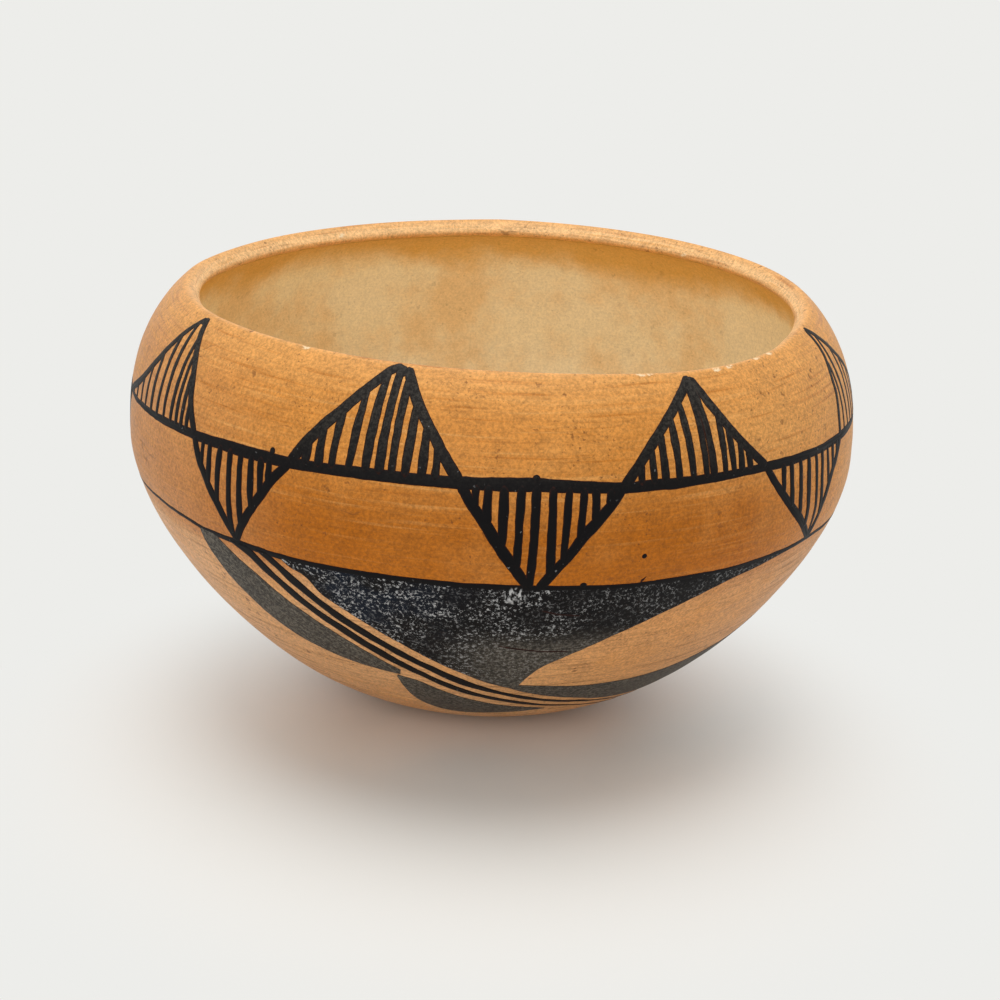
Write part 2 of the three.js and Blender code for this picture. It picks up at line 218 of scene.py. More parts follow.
# Where the hatching stands on each triangle's base, as shares of the base from its left corner
HATCH_FEET = {
    0: [0.1, 0.2, 0.3, 0.39, 0.49, 0.58, 0.67, 0.75, 0.812, 0.865, 0.918],
    1: [0.12, 0.205, 0.323, 0.434, 0.545, 0.65, 0.742, 0.82],
    2: [0.099, 0.184, 0.265, 0.366, 0.467, 0.547, 0.618, 0.694, 0.79, 0.865],
    3: [0.096, 0.173, 0.267, 0.372, 0.461, 0.561, 0.66, 0.754, 0.826, 0.92],
    4: [0.115, 0.191, 0.267, 0.359, 0.45, 0.542, 0.593, 0.674, 0.74, 0.801, 0.867],
    5: [0.171, 0.254, 0.359, 0.464, 0.566, 0.66, 0.75, 0.84, 0.92],
    6: [0.1, 0.2, 0.3, 0.4, 0.5, 0.6, 0.7, 0.8, 0.9],
}
HATCH_LEAN_SHARES = [-0.07, 0.03, 0.03, -0.01, -0.04, 0.04, 0.03, 0, 0.05, -0.02, -0.04, 0.03, 0.04, 0, -0.05, 0.02]
HATCH_PITCH = 4.3 * MM
# How wide the two lines are, as shares of their full width: degrees and shares
MIDDLE_WIDTHS = [(-76, 0.5), (-62, 0.6), (-48, 0.8), (-34, 1), (22, 1), (45, 0.85), (66, 0.75), (85, 0.6),
                 (120, 0.9), (180, 0.75), (230, 0.95), (260, 0.7)]
LOWER_WIDTHS = [(-76, 0.55), (-50, 0.65), (-40, 1), (-20, 1.2), (30, 1), (60, 0.85), (85, 0.7), (120, 0.9),
                (140, 1.2), (200, 1.1), (240, 0.8)]
# Where a stroke's end sticks out over the middle line: degrees, millimetres up and radius
TRIANGLE_BUMPS = {1: [(-32.1, 1.9, 0.8), (-32.2, 1.1, 0.8)], 3: [(6.3, 1.4, 1.0)]}
# Where slip has filled a triangle's point: degrees, millimetres below the lip's outer edge and radius
APEX_BLOTS = {0: [(-58.5, 1.2, 1.15)], 2: [(-14.6, 1.1, 1.7)]}
# How far the two lines round the bowl sag below their level: degrees and millimetres
MIDDLE_SAG = [(-71, 2.3), (-54.6, 0.8), (-41.5, -0.1), (-29.7, -0.3), (-16.8, -1.2), (-5, -1.4), (7, -1.7),
              (18.2, -0.4), (27.2, -0.3), (42.5, -0.1), (59, 1.2), (69.4, 1.6), (85, 2.4), (110, 1.2), (145, 0.2),
              (180, -0.8), (215, 0.4), (250, 1.4), (275, 2.0)]
LOWER_SAG = [(-73.4, 0.4), (-60.4, -1.2), (-51.5, -1), (-46.2, -0.3), (-38.7, -0.6), (-27.3, -0.3), (-4.6, -0.3),
             (9.8, 0.2), (21.2, 0.8), (30.7, 0.6), (38.8, 1), (57, 1), (72.7, 2.2), (95, 1.6), (130, 0.4),
             (180, -0.3), (225, 0.2), (255, 1.0), (280, 0.6)]

# The wing group below the belt: degrees, and shares of the way from the lower line to the foot
WING_TURNS = [0, 180]
WING_LEFT = [(-31, 0), (-29.2, 0.028), (-26.8, 0.05), (-25, 0.096), (-22.1, 0.139), (-19.2, 0.178), (-16.3, 0.219),
             (-13.4, 0.259), (-10.3, 0.3), (-7.2, 0.341), (-3.8, 0.381), (-0.3, 0.421), (3.6, 0.455), (7, 0.472)]
WING_RIGHT = [(7, 0.472), (7.3, 0.43), (9.9, 0.342), (14.3, 0.275), (20.2, 0.2), (24.2, 0.158), (29.5, 0.11),
              (34.1, 0.073), (38, 0.046), (43.5, 0.026), (50, 0.01), (56, 0.001)]
TAIL_HIGH = [(5, 0.445), (8, 0.443), (11.2, 0.449), (15.2, 0.459), (19.4, 0.467), (22.7, 0.471), (31.6, 0.475),
             (40.5, 0.458), (50.3, 0.425), (59.6, 0.385), (79, 0.19), (87, 0.01)]
TAIL_LOW = [(5, 0.462), (7.7, 0.489), (12.1, 0.522), (16.9, 0.552), (22.2, 0.581), (27.1, 0.615), (36, 0.65),
            (48, 0.672), (70, 0.6), (86, 0.36), (92, 0.01)]
INNER_HIGH = [(-32.8, 0), (-29.5, 0.049), (-27.3, 0.085), (-25.2, 0.123), (-22.5, 0.166), (-19.6, 0.207),
              (-16.7, 0.251), (-13.7, 0.292), (-10.6, 0.334), (-7.3, 0.373), (-3.9, 0.416), (-0.2, 0.454),
              (3.7, 0.489), (7.9, 0.519), (12.4, 0.549), (17.4, 0.578), (23, 0.604), (27.7, 0.632), (40, 0.692),
              (66, 0.778)]
INNER_LOW = [(-35.4, 0), (-32.1, 0.045), (-30, 0.085), (-27.8, 0.119), (-25.7, 0.155), (-23, 0.2), (-20.1, 0.243),
             (-17.1, 0.284), (-14.1, 0.327), (-10.8, 0.366), (-7.6, 0.412), (-4.1, 0.457), (-0.2, 0.488),
             (3.8, 0.514), (8.2, 0.548), (12.8, 0.572), (17.9, 0.601), (23.6, 0.627), (28.6, 0.652), (40, 0.706),
             (66, 0.786)]
OUTER_HIGH = [(-36.2, 0), (-34.3, 0.034), (-32.5, 0.068), (-30.2, 0.104), (-28.1, 0.14), (-26, 0.174),
              (-23.1, 0.212), (-20.2, 0.259), (-17.3, 0.302), (-14.3, 0.347), (-11.1, 0.391), (-7.7, 0.438),
              (-4.1, 0.479), (-0.2, 0.515), (3.9, 0.544), (8.4, 0.572), (13.3, 0.604), (18.6, 0.63), (24.8, 0.664),
              (42, 0.752), (70, 0.846)]
OUTER_LOW = [(-41.2, 0), (-38.5, 0.021), (-36.7, 0.039), (-35, 0.068), (-33, 0.098), (-30.8, 0.138), (-28.7, 0.171),
             (-26.6, 0.205), (-23.7, 0.251), (-20.8, 0.296), (-17.8, 0.341), (-14.7, 0.382), (-11.4, 0.424),
             (-7.9, 0.473), (-4.2, 0.513), (-0.2, 0.543), (4.2, 0.571), (8.8, 0.6), (13.7, 0.624), (19.1, 0.648),
             (25.3, 0.678), (42, 0.763), (70, 0.853)]
CRESCENT_HIGH = [(-43.6, 0), (-41, 0.036), (-39.2, 0.06), (-37.5, 0.08), (-35.6, 0.105), (-33.7, 0.137),
                 (-31.5, 0.169), (-29.2, 0.199), (-27.1, 0.23), (-24.1, 0.271), (-21.1, 0.314), (-18.1, 0.357),
                 (-14.9, 0.402)]
CRESCENT_LOW = [(-47.4, 0), (-47.1, 0.04), (-46.4, 0.078), (-45.3, 0.115), (-44.1, 0.154), (-42.7, 0.188),
                (-41.2, 0.22), (-39.7, 0.253), (-37.8, 0.288), (-35.6, 0.32), (-33.1, 0.348), (-30.3, 0.371),
                (-26.7, 0.394), (-23, 0.411), (-19.1, 0.423), (-15.3, 0.432)]
LOW_CRESCENT_HIGH = [(-15.9, 0.436), (-11.7, 0.463), (-8.2, 0.508), (-4.3, 0.548), (-0.2, 0.579), (4.3, 0.608),
                     (9.1, 0.627), (15.6, 0.655)]
LOW_CRESCENT_LOW = [(-16.2, 0.45), (-16, 0.51), (-15.5, 0.57), (-14.2, 0.635), (-11.4, 0.69), (-8, 0.718),
                    (-4.4, 0.726), (-0.1, 0.719), (5.1, 0.705), (9.9, 0.689), (15.6, 0.667)]
# Ridges that the brush left on the wing
BRUSH_MARKS = [[(2.2, 0.228), (5, 0.24), (8.5, 0.25), (11, 0.254), (14, 0.255)],
               [(8.2, 0.078), (11, 0.093), (14.2, 0.1)]]
# How the hand-turned lip leaves the round: degrees, millimetres down and millimetres out
LIP_DIPS = [(-180, 0, 0.3), (-160, 0.7, 0), (-140, 1.1, 0), (-115, 1.1, 0), (-90, 0.5, 0), (-65, 0.2, -0.4),
            (-40, 0, -1), (-15, 0, -1), (5, 0.1, 0), (20, 0.8, 0.6), (35, 1.7, 1.3), (50, 1.9, 1.4), (65, 0.9, 0.4),
            (85, 0.2, 0), (110, 0, 0.2), (140, 0, 0.4), (180, 0, 0.3)]
# Chips on the lip: degrees round the bowl, how far over the lip from its outer edge in millimetres,
# half their width and height, and their depth
LIP_CHIPS = [(-33, 1.5, 1.12, 1.2, 0.5), (24, 1.2, 0.91, 0.9, 0.35), (25.6, 1.4, 0.7, 0.8, 0.3),
             (38.5, 1.0, 1.26, 1, 0.45), (41.5, 1.2, 1.05, 0.9, 0.35), (49, 1.8, 1.4, 1.1, 0.5),
             (53, 1.6, 0.98, 1, 0.4), (216, 5, 0.84, 0.8, 0.3), (137, 6.4, 0.84, 0.8, 0.3)]


# The wall's section

# How finely the section is drawn: the points of a curve, of the lip and of the base, and the length of a step
CURVE_POINTS = 900
SECTION_STEP = 0.25 * MM
LIP_POINTS = 90
BASE_POINTS = 60
# How far below the lip's outer edge the wall is drawn in fully, and where that has faded out
UNDERCUT_FULL = 1.2 * MM
UNDERCUT_REACH = 34 * MM


def bezier(points):
    """Points on a cubic curve from its four control points."""
    t = np.linspace(0, 1, CURVE_POINTS)[:, None]
    a, b, c, d = (np.array(point, float) for point in points)
    return (1 - t) ** 3 * a + 3 * (1 - t) ** 2 * t * b + 3 * (1 - t) * t ** 2 * c + t ** 3 * d


def lengths_along(points):
    """The distance of each point of a line from its start."""
    steps = np.hypot(*np.diff(points, axis=0).T)
    return np.concatenate([[0], np.cumsum(steps)])


def spread(line, count):
    """The same line with so many points, evenly apart."""
    lengths = lengths_along(line)
    at = np.linspace(0, lengths[-1], count)
    return np.stack([np.interp(at, lengths, line[:, axis]) for axis in range(2)], 1)


def resampled(line, step):
    """The same line with points about a step apart."""
    return spread(line, max(2, int(round(lengths_along(line)[-1] / step)) + 1))


def sideways(line):
    """The direction to the left of a line at each of its points."""
    along = np.gradient(line, axis=0)
    along /= np.hypot(*along.T)[:, None]
    return np.stack([-along[:, 1], along[:, 0]], 1)


def lip_rise(form):
    """How flat the lip's top is, so that its highest point stays at the bowl's height."""
    power = form.lip_squareness / (form.lip_squareness - 1)
    return (1 - math.cos(form.lip_slope) ** power) ** (1 / power) / math.sin(form.lip_slope)


class Section:
    """The closed section of the bowl: underside, outer wall, lip, inner wall and floor, as one line."""

    def __init__(self, form):
        half = form.wall / 2
        slope = form.lip_slope
        out_way = np.array([math.sin(slope), math.cos(slope)])
        up_way = np.array([-math.cos(slope), math.sin(slope)])
        centre = np.array([form.lip_radius, form.height - half])
        edge = centre + half * out_way
        foot = np.array([form.foot_radius, 0.0])
        widest = np.array([form.widest_radius, form.widest_height])
        foot_reach = form.foot_fullness * (form.widest_radius - form.foot_radius)
        shoulder = edge[1] - widest[1]
        lower = bezier([
            foot,
            foot + foot_reach * np.array([math.cos(form.foot_slope), math.sin(form.foot_slope)]),
            widest * [1, 1 - form.belly_fullness],
            widest,
        ])
        upper = bezier([
            widest,
            widest + [0, shoulder * form.shoulder_fullness],
            edge - form.lip_fullness * shoulder * up_way,
            edge,
        ])
        outer = resampled(np.concatenate([lower, upper[1:]]), SECTION_STEP)
        below_lip = lengths_along(outer)[-1] - lengths_along(outer)
        hollow = np.clip(below_lip / UNDERCUT_FULL, 0, 1) ** 1.5 * np.clip(1 - below_lip / UNDERCUT_REACH, 0, 1)
        inner = (outer + (form.wall - form.undercut * hollow)[:, None] * sideways(outer))[::-1]
        turn = np.linspace(0, math.pi, LIP_POINTS)[1:-1]
        flat = np.where(turn < math.pi / 2, 2 / form.lip_squareness, 2 / form.lip_corner)
        lip = (centre + half * (np.sign(np.cos(turn)) * np.abs(np.cos(turn)) ** flat)[:, None] * out_way
               + half * lip_rise(form) * (np.sin(turn) ** flat)[:, None] * up_way)
        radii = np.linspace(0, form.foot_radius, BASE_POINTS)[:-1]
        underside = np.stack([radii, form.dent * np.cos(radii / form.foot_radius * math.pi / 2) ** 2], 1)
        floor_radii = np.linspace(inner[-1, 0], 0, BASE_POINTS)[1:]
        floor = np.stack([floor_radii, np.full(BASE_POINTS - 1, inner[-1, 1])], 1)
        self.points = np.concatenate([underside, outer, lip, inner, floor])
        self.lengths = lengths_along(self.points)
        marks = np.cumsum([len(underside), len(outer) - 1, len(lip) + 1, len(inner) - 1])
        self.foot_edge, self.lip_edge, self.lip_end, self.floor_edge = self.lengths[marks]
        self.end = self.lengths[-1]
        self.wall_length = self.lip_edge - self.foot_edge
        self.widest_up = lengths_along(lower)[-1]
        self.outer_part = slice(marks[0], marks[1] + 1)
        self.inner_part = slice(marks[3], marks[2] - 1, -1)

    def length_at(self, height, part):
        """The length along the section at which a part of the wall, taken upwards, reaches a height."""
        return float(np.interp(height, self.points[part, 1], self.lengths[part]))

    def as_curve(self):
        """A curve object that holds the section, radius along X and height along Z."""
        curve = bpy.data.curves.new("bowl_section", "CURVE")
        curve.dimensions = "3D"
        spline = curve.splines.new("POLY")
        spline.points.add(len(self.points) - 1)
        flat = np.zeros((len(self.points), 4))
        flat[:, [0, 2]] = self.points
        flat[:, 3] = 1
        spline.points.foreach_set("co", flat.ravel())
        return linked("bowl_section", curve)


# Short ways to write node trees

class Wire:
    """A value, vector or colour in a node tree. What is worked out from it becomes new nodes."""

    def __init__(self, socket):
        self.socket = socket
        self.tree = socket.id_data

    def into(self, socket):
        """Feeds a node's input."""
        self.tree.links.new(self.socket, socket)

    def beside(self, name):
        """Another output of the node that this comes from."""
        return Wire(self.socket.node.outputs[name])

    def split(self):
        """The X, Y and Z of a vector."""
        first = add_node(self.tree, "ShaderNodeSeparateXYZ", {0: self})
        return [first.beside(name) for name in "XYZ"]

    def __add__(self, other):
        return maths("ADD", self, other)

    def __sub__(self, other):
        return maths("SUBTRACT", self, other)

    def __rsub__(self, other):
        return maths("SUBTRACT", other, self)

    def __mul__(self, other):
        return maths("MULTIPLY", self, other)

    def __truediv__(self, other):
        return maths("DIVIDE", self, other)

    def __rtruediv__(self, other):
        return maths("DIVIDE", other, self)

    def times_plus(self, factor, addend):
        """This value times a factor, plus another."""
        return maths("MULTIPLY_ADD", self, factor, addend)

    def most(self, other):
        """The greater of this value and another."""
        return maths("MAXIMUM", self, other)

    def vectors(self, operation, other, output="Vector"):
        """The result of a Vector Math node."""
        return add_node(self.tree, "ShaderNodeVectorMath", {0: self, 1: other}, output, operation=operation)

    def scaled(self, factor):
        """A vector times a value."""
        return add_node(self.tree, "ShaderNodeVectorMath", {0: self, "Scale": factor}, operation="SCALE")

    def ramp(self, low, high, start=0.0, end=1.0):
        """A smooth step of a value from start to end."""
        return add_node(self.tree, "ShaderNodeMapRange", {0: self, 1: low, 2: high, 3: start, 4: end},
                        interpolation_type="SMOOTHSTEP")

    def noise(self, scale, detail=2.0, roughness=0.5, output=0):
        """The value or colour of a noise at a place."""
        return add_node(self.tree, "ShaderNodeTexNoise",
                        {"Vector": self, "Scale": scale, "Detail": detail, "Roughness": roughness}, output)

    def pattern(self, name, **sizes):
        """The mask of one of the shared shader groups at a place."""
        return add_node(self.tree, "ShaderNodeGroup", {"Vector": self, **sizes}, node_tree=_made[name])

    def blend(self, first, second):
        """The mix of two colours that this value sets, from the first at 0 to the second at 1."""
        colours = [shade if isinstance(shade, Wire) else opaque(shade) for shade in (first, second)]
        return add_node(self.tree, "ShaderNodeMix", {0: self, 6: colours[0], 7: colours[1]}, 2, data_type="RGBA")


def maths(operation, *inputs):
    """The result of a Math node, one of whose inputs is a wire."""
    tree = next(value.tree for value in inputs if isinstance(value, Wire))
    return add_node(tree, "ShaderNodeMath", dict(enumerate(inputs)), operation=operation)


def add_node(tree, kind, inputs=None, output=0, **settings):
    """One output of a new node, whose inputs are values or the wires that feed them."""
    made = tree.nodes.new(kind)
    for key, value in settings.items():
        setattr(made, key, value)
    for key, value in (inputs or {}).items():
        if isinstance(value, Wire):
            value.into(made.inputs[key])
        else:
            made.inputs[key].default_value = value
    return Wire(made.outputs[output])


def all_outputs(tree, kind):
    """The outputs of a new node by name."""
    return {socket.name: Wire(socket) for socket in tree.nodes.new(kind).outputs}


def vector_of(tree, x=0.0, y=0.0, z=0.0):
    """The vector of three values."""
    return add_node(tree, "ShaderNodeCombineXYZ", {0: x, 1: y, 2: z})


def opaque(shade):
    """A colour property with its fourth value."""
    return (*shade, 1.0)


def around_curve(turn, table):
    """Millimetres read from a table of degrees and millimetres, as a smooth curve round the bowl. The
    curve's own values of 0 to 1 stand for the table's from -reach to reach."""
    reach = 4.0
    share_round = turn.times_plus(0.5 / math.pi, 0.5)
    made = add_node(turn.tree, "ShaderNodeFloatCurve", {"Value": maths("FRACT", share_round)})
    mapping = made.socket.node.mapping
    points = mapping.curves[0].points
    while len(points) < len(table):
        points.new(0.5, 0.5)
    for point, (degrees, value) in zip(points, table):
        point.location = ((degrees + 180) / 360, 0.5 + value / (2 * reach))
    mapping.update()
    return (made - 0.5) * (2 * reach * MM)


# Geometry Nodes: what is drawn flat is turned about the axis on the section

WALL_SOCKETS = {
    "Geometry": "Geometry", "Section": "Object", "Foot edge": "Float", "Widest radius": "Float", "Swell": "Float",
    "Swell size": "Float", "Dimple": "Float", "Dimple size": "Float", "Wobble": "Float", "Wobble size": "Float",
    "Settled height": "Float", "Material": "Material",
}
# Where the lip's unevenness fades out, and below which height the clay settled flat on its base
LIP_FADE = (0.078, 0.11)
SETTLED_HEIGHT = 14 * MM


def wall_tree():
    """Lays a flat drawing on the wall: X runs round at the widest radius, Y along the section from
    the foot's edge and Z off the surface."""
    tree = bpy.data.node_groups.new("laid_on_the_wall", "GeometryNodeTree")
    tree.interface.new_socket("Geometry", in_out="OUTPUT", socket_type="NodeSocketGeometry")
    for name, kind in WALL_SOCKETS.items():
        tree.interface.new_socket(name, in_out="INPUT", socket_type="NodeSocket" + kind)
    given = all_outputs(tree, "NodeGroupInput")
    flat = add_node(tree, "GeometryNodeInputPosition")

    stray = flat.noise(1.0 / given["Wobble size"], detail=3.0, roughness=0.62, output=1)
    stray = stray.vectors("SUBTRACT", (0.5, 0.5, 0.5)).scaled(given["Wobble"] * 4.0)
    moved_x, moved_y, _ = flat.vectors("ADD", stray).split()
    height = flat.split()[2]

    section = add_node(tree, "GeometryNodeObjectInfo", {"Object": given["Section"]}, "Geometry")
    sample = add_node(tree, "GeometryNodeSampleCurve", {"Curves": section, "Length": moved_y + given["Foot edge"]},
                      "Position", mode="LENGTH", use_all_curves=True)
    place_x, _, place_z = sample.split()
    heading_x, _, heading_z = sample.beside("Tangent").split()

    turn = moved_x / given["Widest radius"]
    near_lip = place_z.ramp(*LIP_FADE)
    dip, lean = (around_curve(turn, [(row[0], row[column]) for row in LIP_DIPS]) * near_lip for column in (1, 2))
    radius = heading_z.times_plus(height, place_x) + lean
    level = place_z - heading_x * height - dip
    outward = vector_of(tree, maths("SINE", turn), maths("COSINE", turn) * -1.0)
    surface = outward.scaled(place_x).vectors("ADD", vector_of(tree, z=place_z))
    swell = surface.noise(1.0 / given["Swell size"], detail=1.0).times_plus(4.0, -2.0) * given["Swell"]
    level_marks = surface.vectors("MULTIPLY", (0.45, 0.45, 1.0))
    dimple = level_marks.noise(1.0 / given["Dimple size"]).times_plus(4.0, -2.0) * given["Dimple"]
    uneven = (swell + dimple) * place_z.ramp(0.0, given["Settled height"])
    laid = outward.scaled(radius + uneven).vectors("ADD", vector_of(tree, z=level))

    made = add_node(tree, "GeometryNodeSetPosition", {"Geometry": given["Geometry"], "Position": laid})
    made = add_node(tree, "GeometryNodeSetShadeSmooth", {0: made})
    made = add_node(tree, "GeometryNodeRealizeInstances", {0: made})
    made = add_node(tree, "GeometryNodeSetMaterial", {"Geometry": made, "Material": given["Material"]})
    made.into(tree.nodes.new("NodeGroupOutput").inputs[0])
    return tree


def linked(name, data):
    """A new object in the scene."""
    held = bpy.data.objects.new(name, data)
    bpy.context.scene.collection.objects.link(held)
    return held


class Wall:
    """The bowl's section, its node tree and the settings that pieces are laid on it with."""

    def __init__(self, scene):
        self.form = scene.bowl_form
        self.hand = scene.bowl_hand
        self.section = Section(self.form)
        self.curve = self.section.as_curve()
        self.tree = wall_tree()

    def lay(self, name, flat_mesh, material, painted):
        """Turns a flat drawing into a mesh on the wall."""
        held = linked(name, flat_mesh)
        modifier = held.modifiers.new("laid_on_the_wall", "NODES")
        modifier.node_group = self.tree
        hand = self.hand
        values = {
            "Section": self.curve, "Foot edge": self.section.foot_edge, "Widest radius": self.form.widest_radius,
            "Swell": hand.swell, "Swell size": hand.swell_size, "Dimple": hand.dimple,
            "Dimple size": hand.dimple_size, "Wobble": hand.wobble if painted else 0.0,
            "Wobble size": hand.wobble_size, "Settled height": SETTLED_HEIGHT, "Material": material,
        }
        for item in self.tree.interface.items_tree:
            if item.in_out == "INPUT" and item.name in values:
                modifier[item.identifier] = values[item.name]
        graph = bpy.context.evaluated_depsgraph_get()
        baked = bpy.data.meshes.new_from_object(
            held.evaluated_get(graph), preserve_all_data_layers=True, depsgraph=graph)
        held.modifiers.clear()
        held.data = baked
        baked.name = name
        bpy.data.meshes.remove(flat_mesh)
        return held


_made = {}


def the_wall():
    """The one wall that all operators lay their pieces on."""
    if "wall" not in _made:
        _made["wall"] = Wall(bpy.context.scene)
    return _made["wall"]


def finish_piece(piece, nodes):
    """Puts a piece in place of its CAD nodes on the one body."""
    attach(piece, "root")
    if nodes:
        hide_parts(*nodes)


# Shader groups that more than one material uses

def pattern_group(name, sizes, result):
    """An empty shader group: its inputs, and the socket that its result goes to."""
    tree = bpy.data.node_groups.new(name, "ShaderNodeTree")
    tree.interface.new_socket("Vector", in_out="INPUT", socket_type="NodeSocketVector")
    for label in sizes:
        tree.interface.new_socket(label, in_out="INPUT", socket_type="NodeSocketFloat")
    tree.interface.new_socket(result, in_out="OUTPUT", socket_type="NodeSocketFloat")
    return all_outputs(tree, "NodeGroupInput"), tree.nodes.new("NodeGroupOutput").inputs[0]


def grit_group():
    """Small uneven grains: a mask of specks of one size, thicker in patches."""
    given, wanted = pattern_group("grit", ("Size", "Share"), "Mask")
    scale = 1.0 / given["Size"]
    bent = given["Vector"].noise(scale * 2.0, detail=1.0, output=1)
    moved = given["Vector"].vectors("ADD", bent.scaled(given["Size"]))
    distance = add_node(moved.tree, "ShaderNodeTexVoronoi", {"Vector": moved, "Scale": scale, "Randomness": 1.0},
                        "Distance")
    chance = add_node(moved.tree, "ShaderNodeSeparateColor", {0: distance.beside("Color")})
    grain = (distance - chance.beside("Green").times_plus(0.22, 0.08)).ramp(0.1, -0.05)
    chosen = maths("LESS_THAN", chance, given["Share"])
    patches = given["Vector"].noise(scale * 0.07, detail=3.0).ramp(0.35, 0.65)
    (grain * chosen * patches).into(wanted)
    return moved.tree


def streak_group():
    """Long soft streaks along one direction, as a polishing stone or a brush leaves them."""
    given, wanted = pattern_group("streaks", ("Length", "Width"), "Value")
    x, y, z = given["Vector"].split()
    drawn = vector_of(x.tree, x / given["Length"], y / given["Width"], z / given["Length"])
    drawn.noise(1.0, detail=3.0, roughness=0.6).into(wanted)
    return x.tree


def new_material(name):
    """An empty node material with its output and its main shader."""
    material = bpy.data.materials.new(name)
    material.use_nodes = True
    tree = material.node_tree
    tree.nodes.clear()
    shader = tree.nodes.new("ShaderNodeBsdfPrincipled")
    ending = tree.nodes.new("ShaderNodeOutputMaterial").inputs["Surface"]
    tree.links.new(shader.outputs[0], ending)
    return material, shader, ending


def object_place(tree):
    """The place of a point on its object."""
    return add_node(tree, "ShaderNodeTexCoord", output="Object")


def attribute(tree, name):
    """A value that the mesh holds."""
    return add_node(tree, "ShaderNodeAttribute", output="Fac", attribute_name=name)


def add_relief(shader, relief, strength, depth):
    """Raises the shader's surface where the relief is high."""
    bump = add_node(relief.tree, "ShaderNodeBump", {"Strength": strength, "Distance": depth, "Height": relief})
    bump.into(shader.inputs["Normal"])


# Where the wing is scuffed, just below the lower line
SCUFF_PLACE = (0.0072, -0.098, 0.0605)


def layered(colour, *layers):
    """A colour with others laid over it in turn, each as strong as the mask beside it."""
    for mask, shade in layers:
        colour = mask.blend(colour, shade)
    return colour


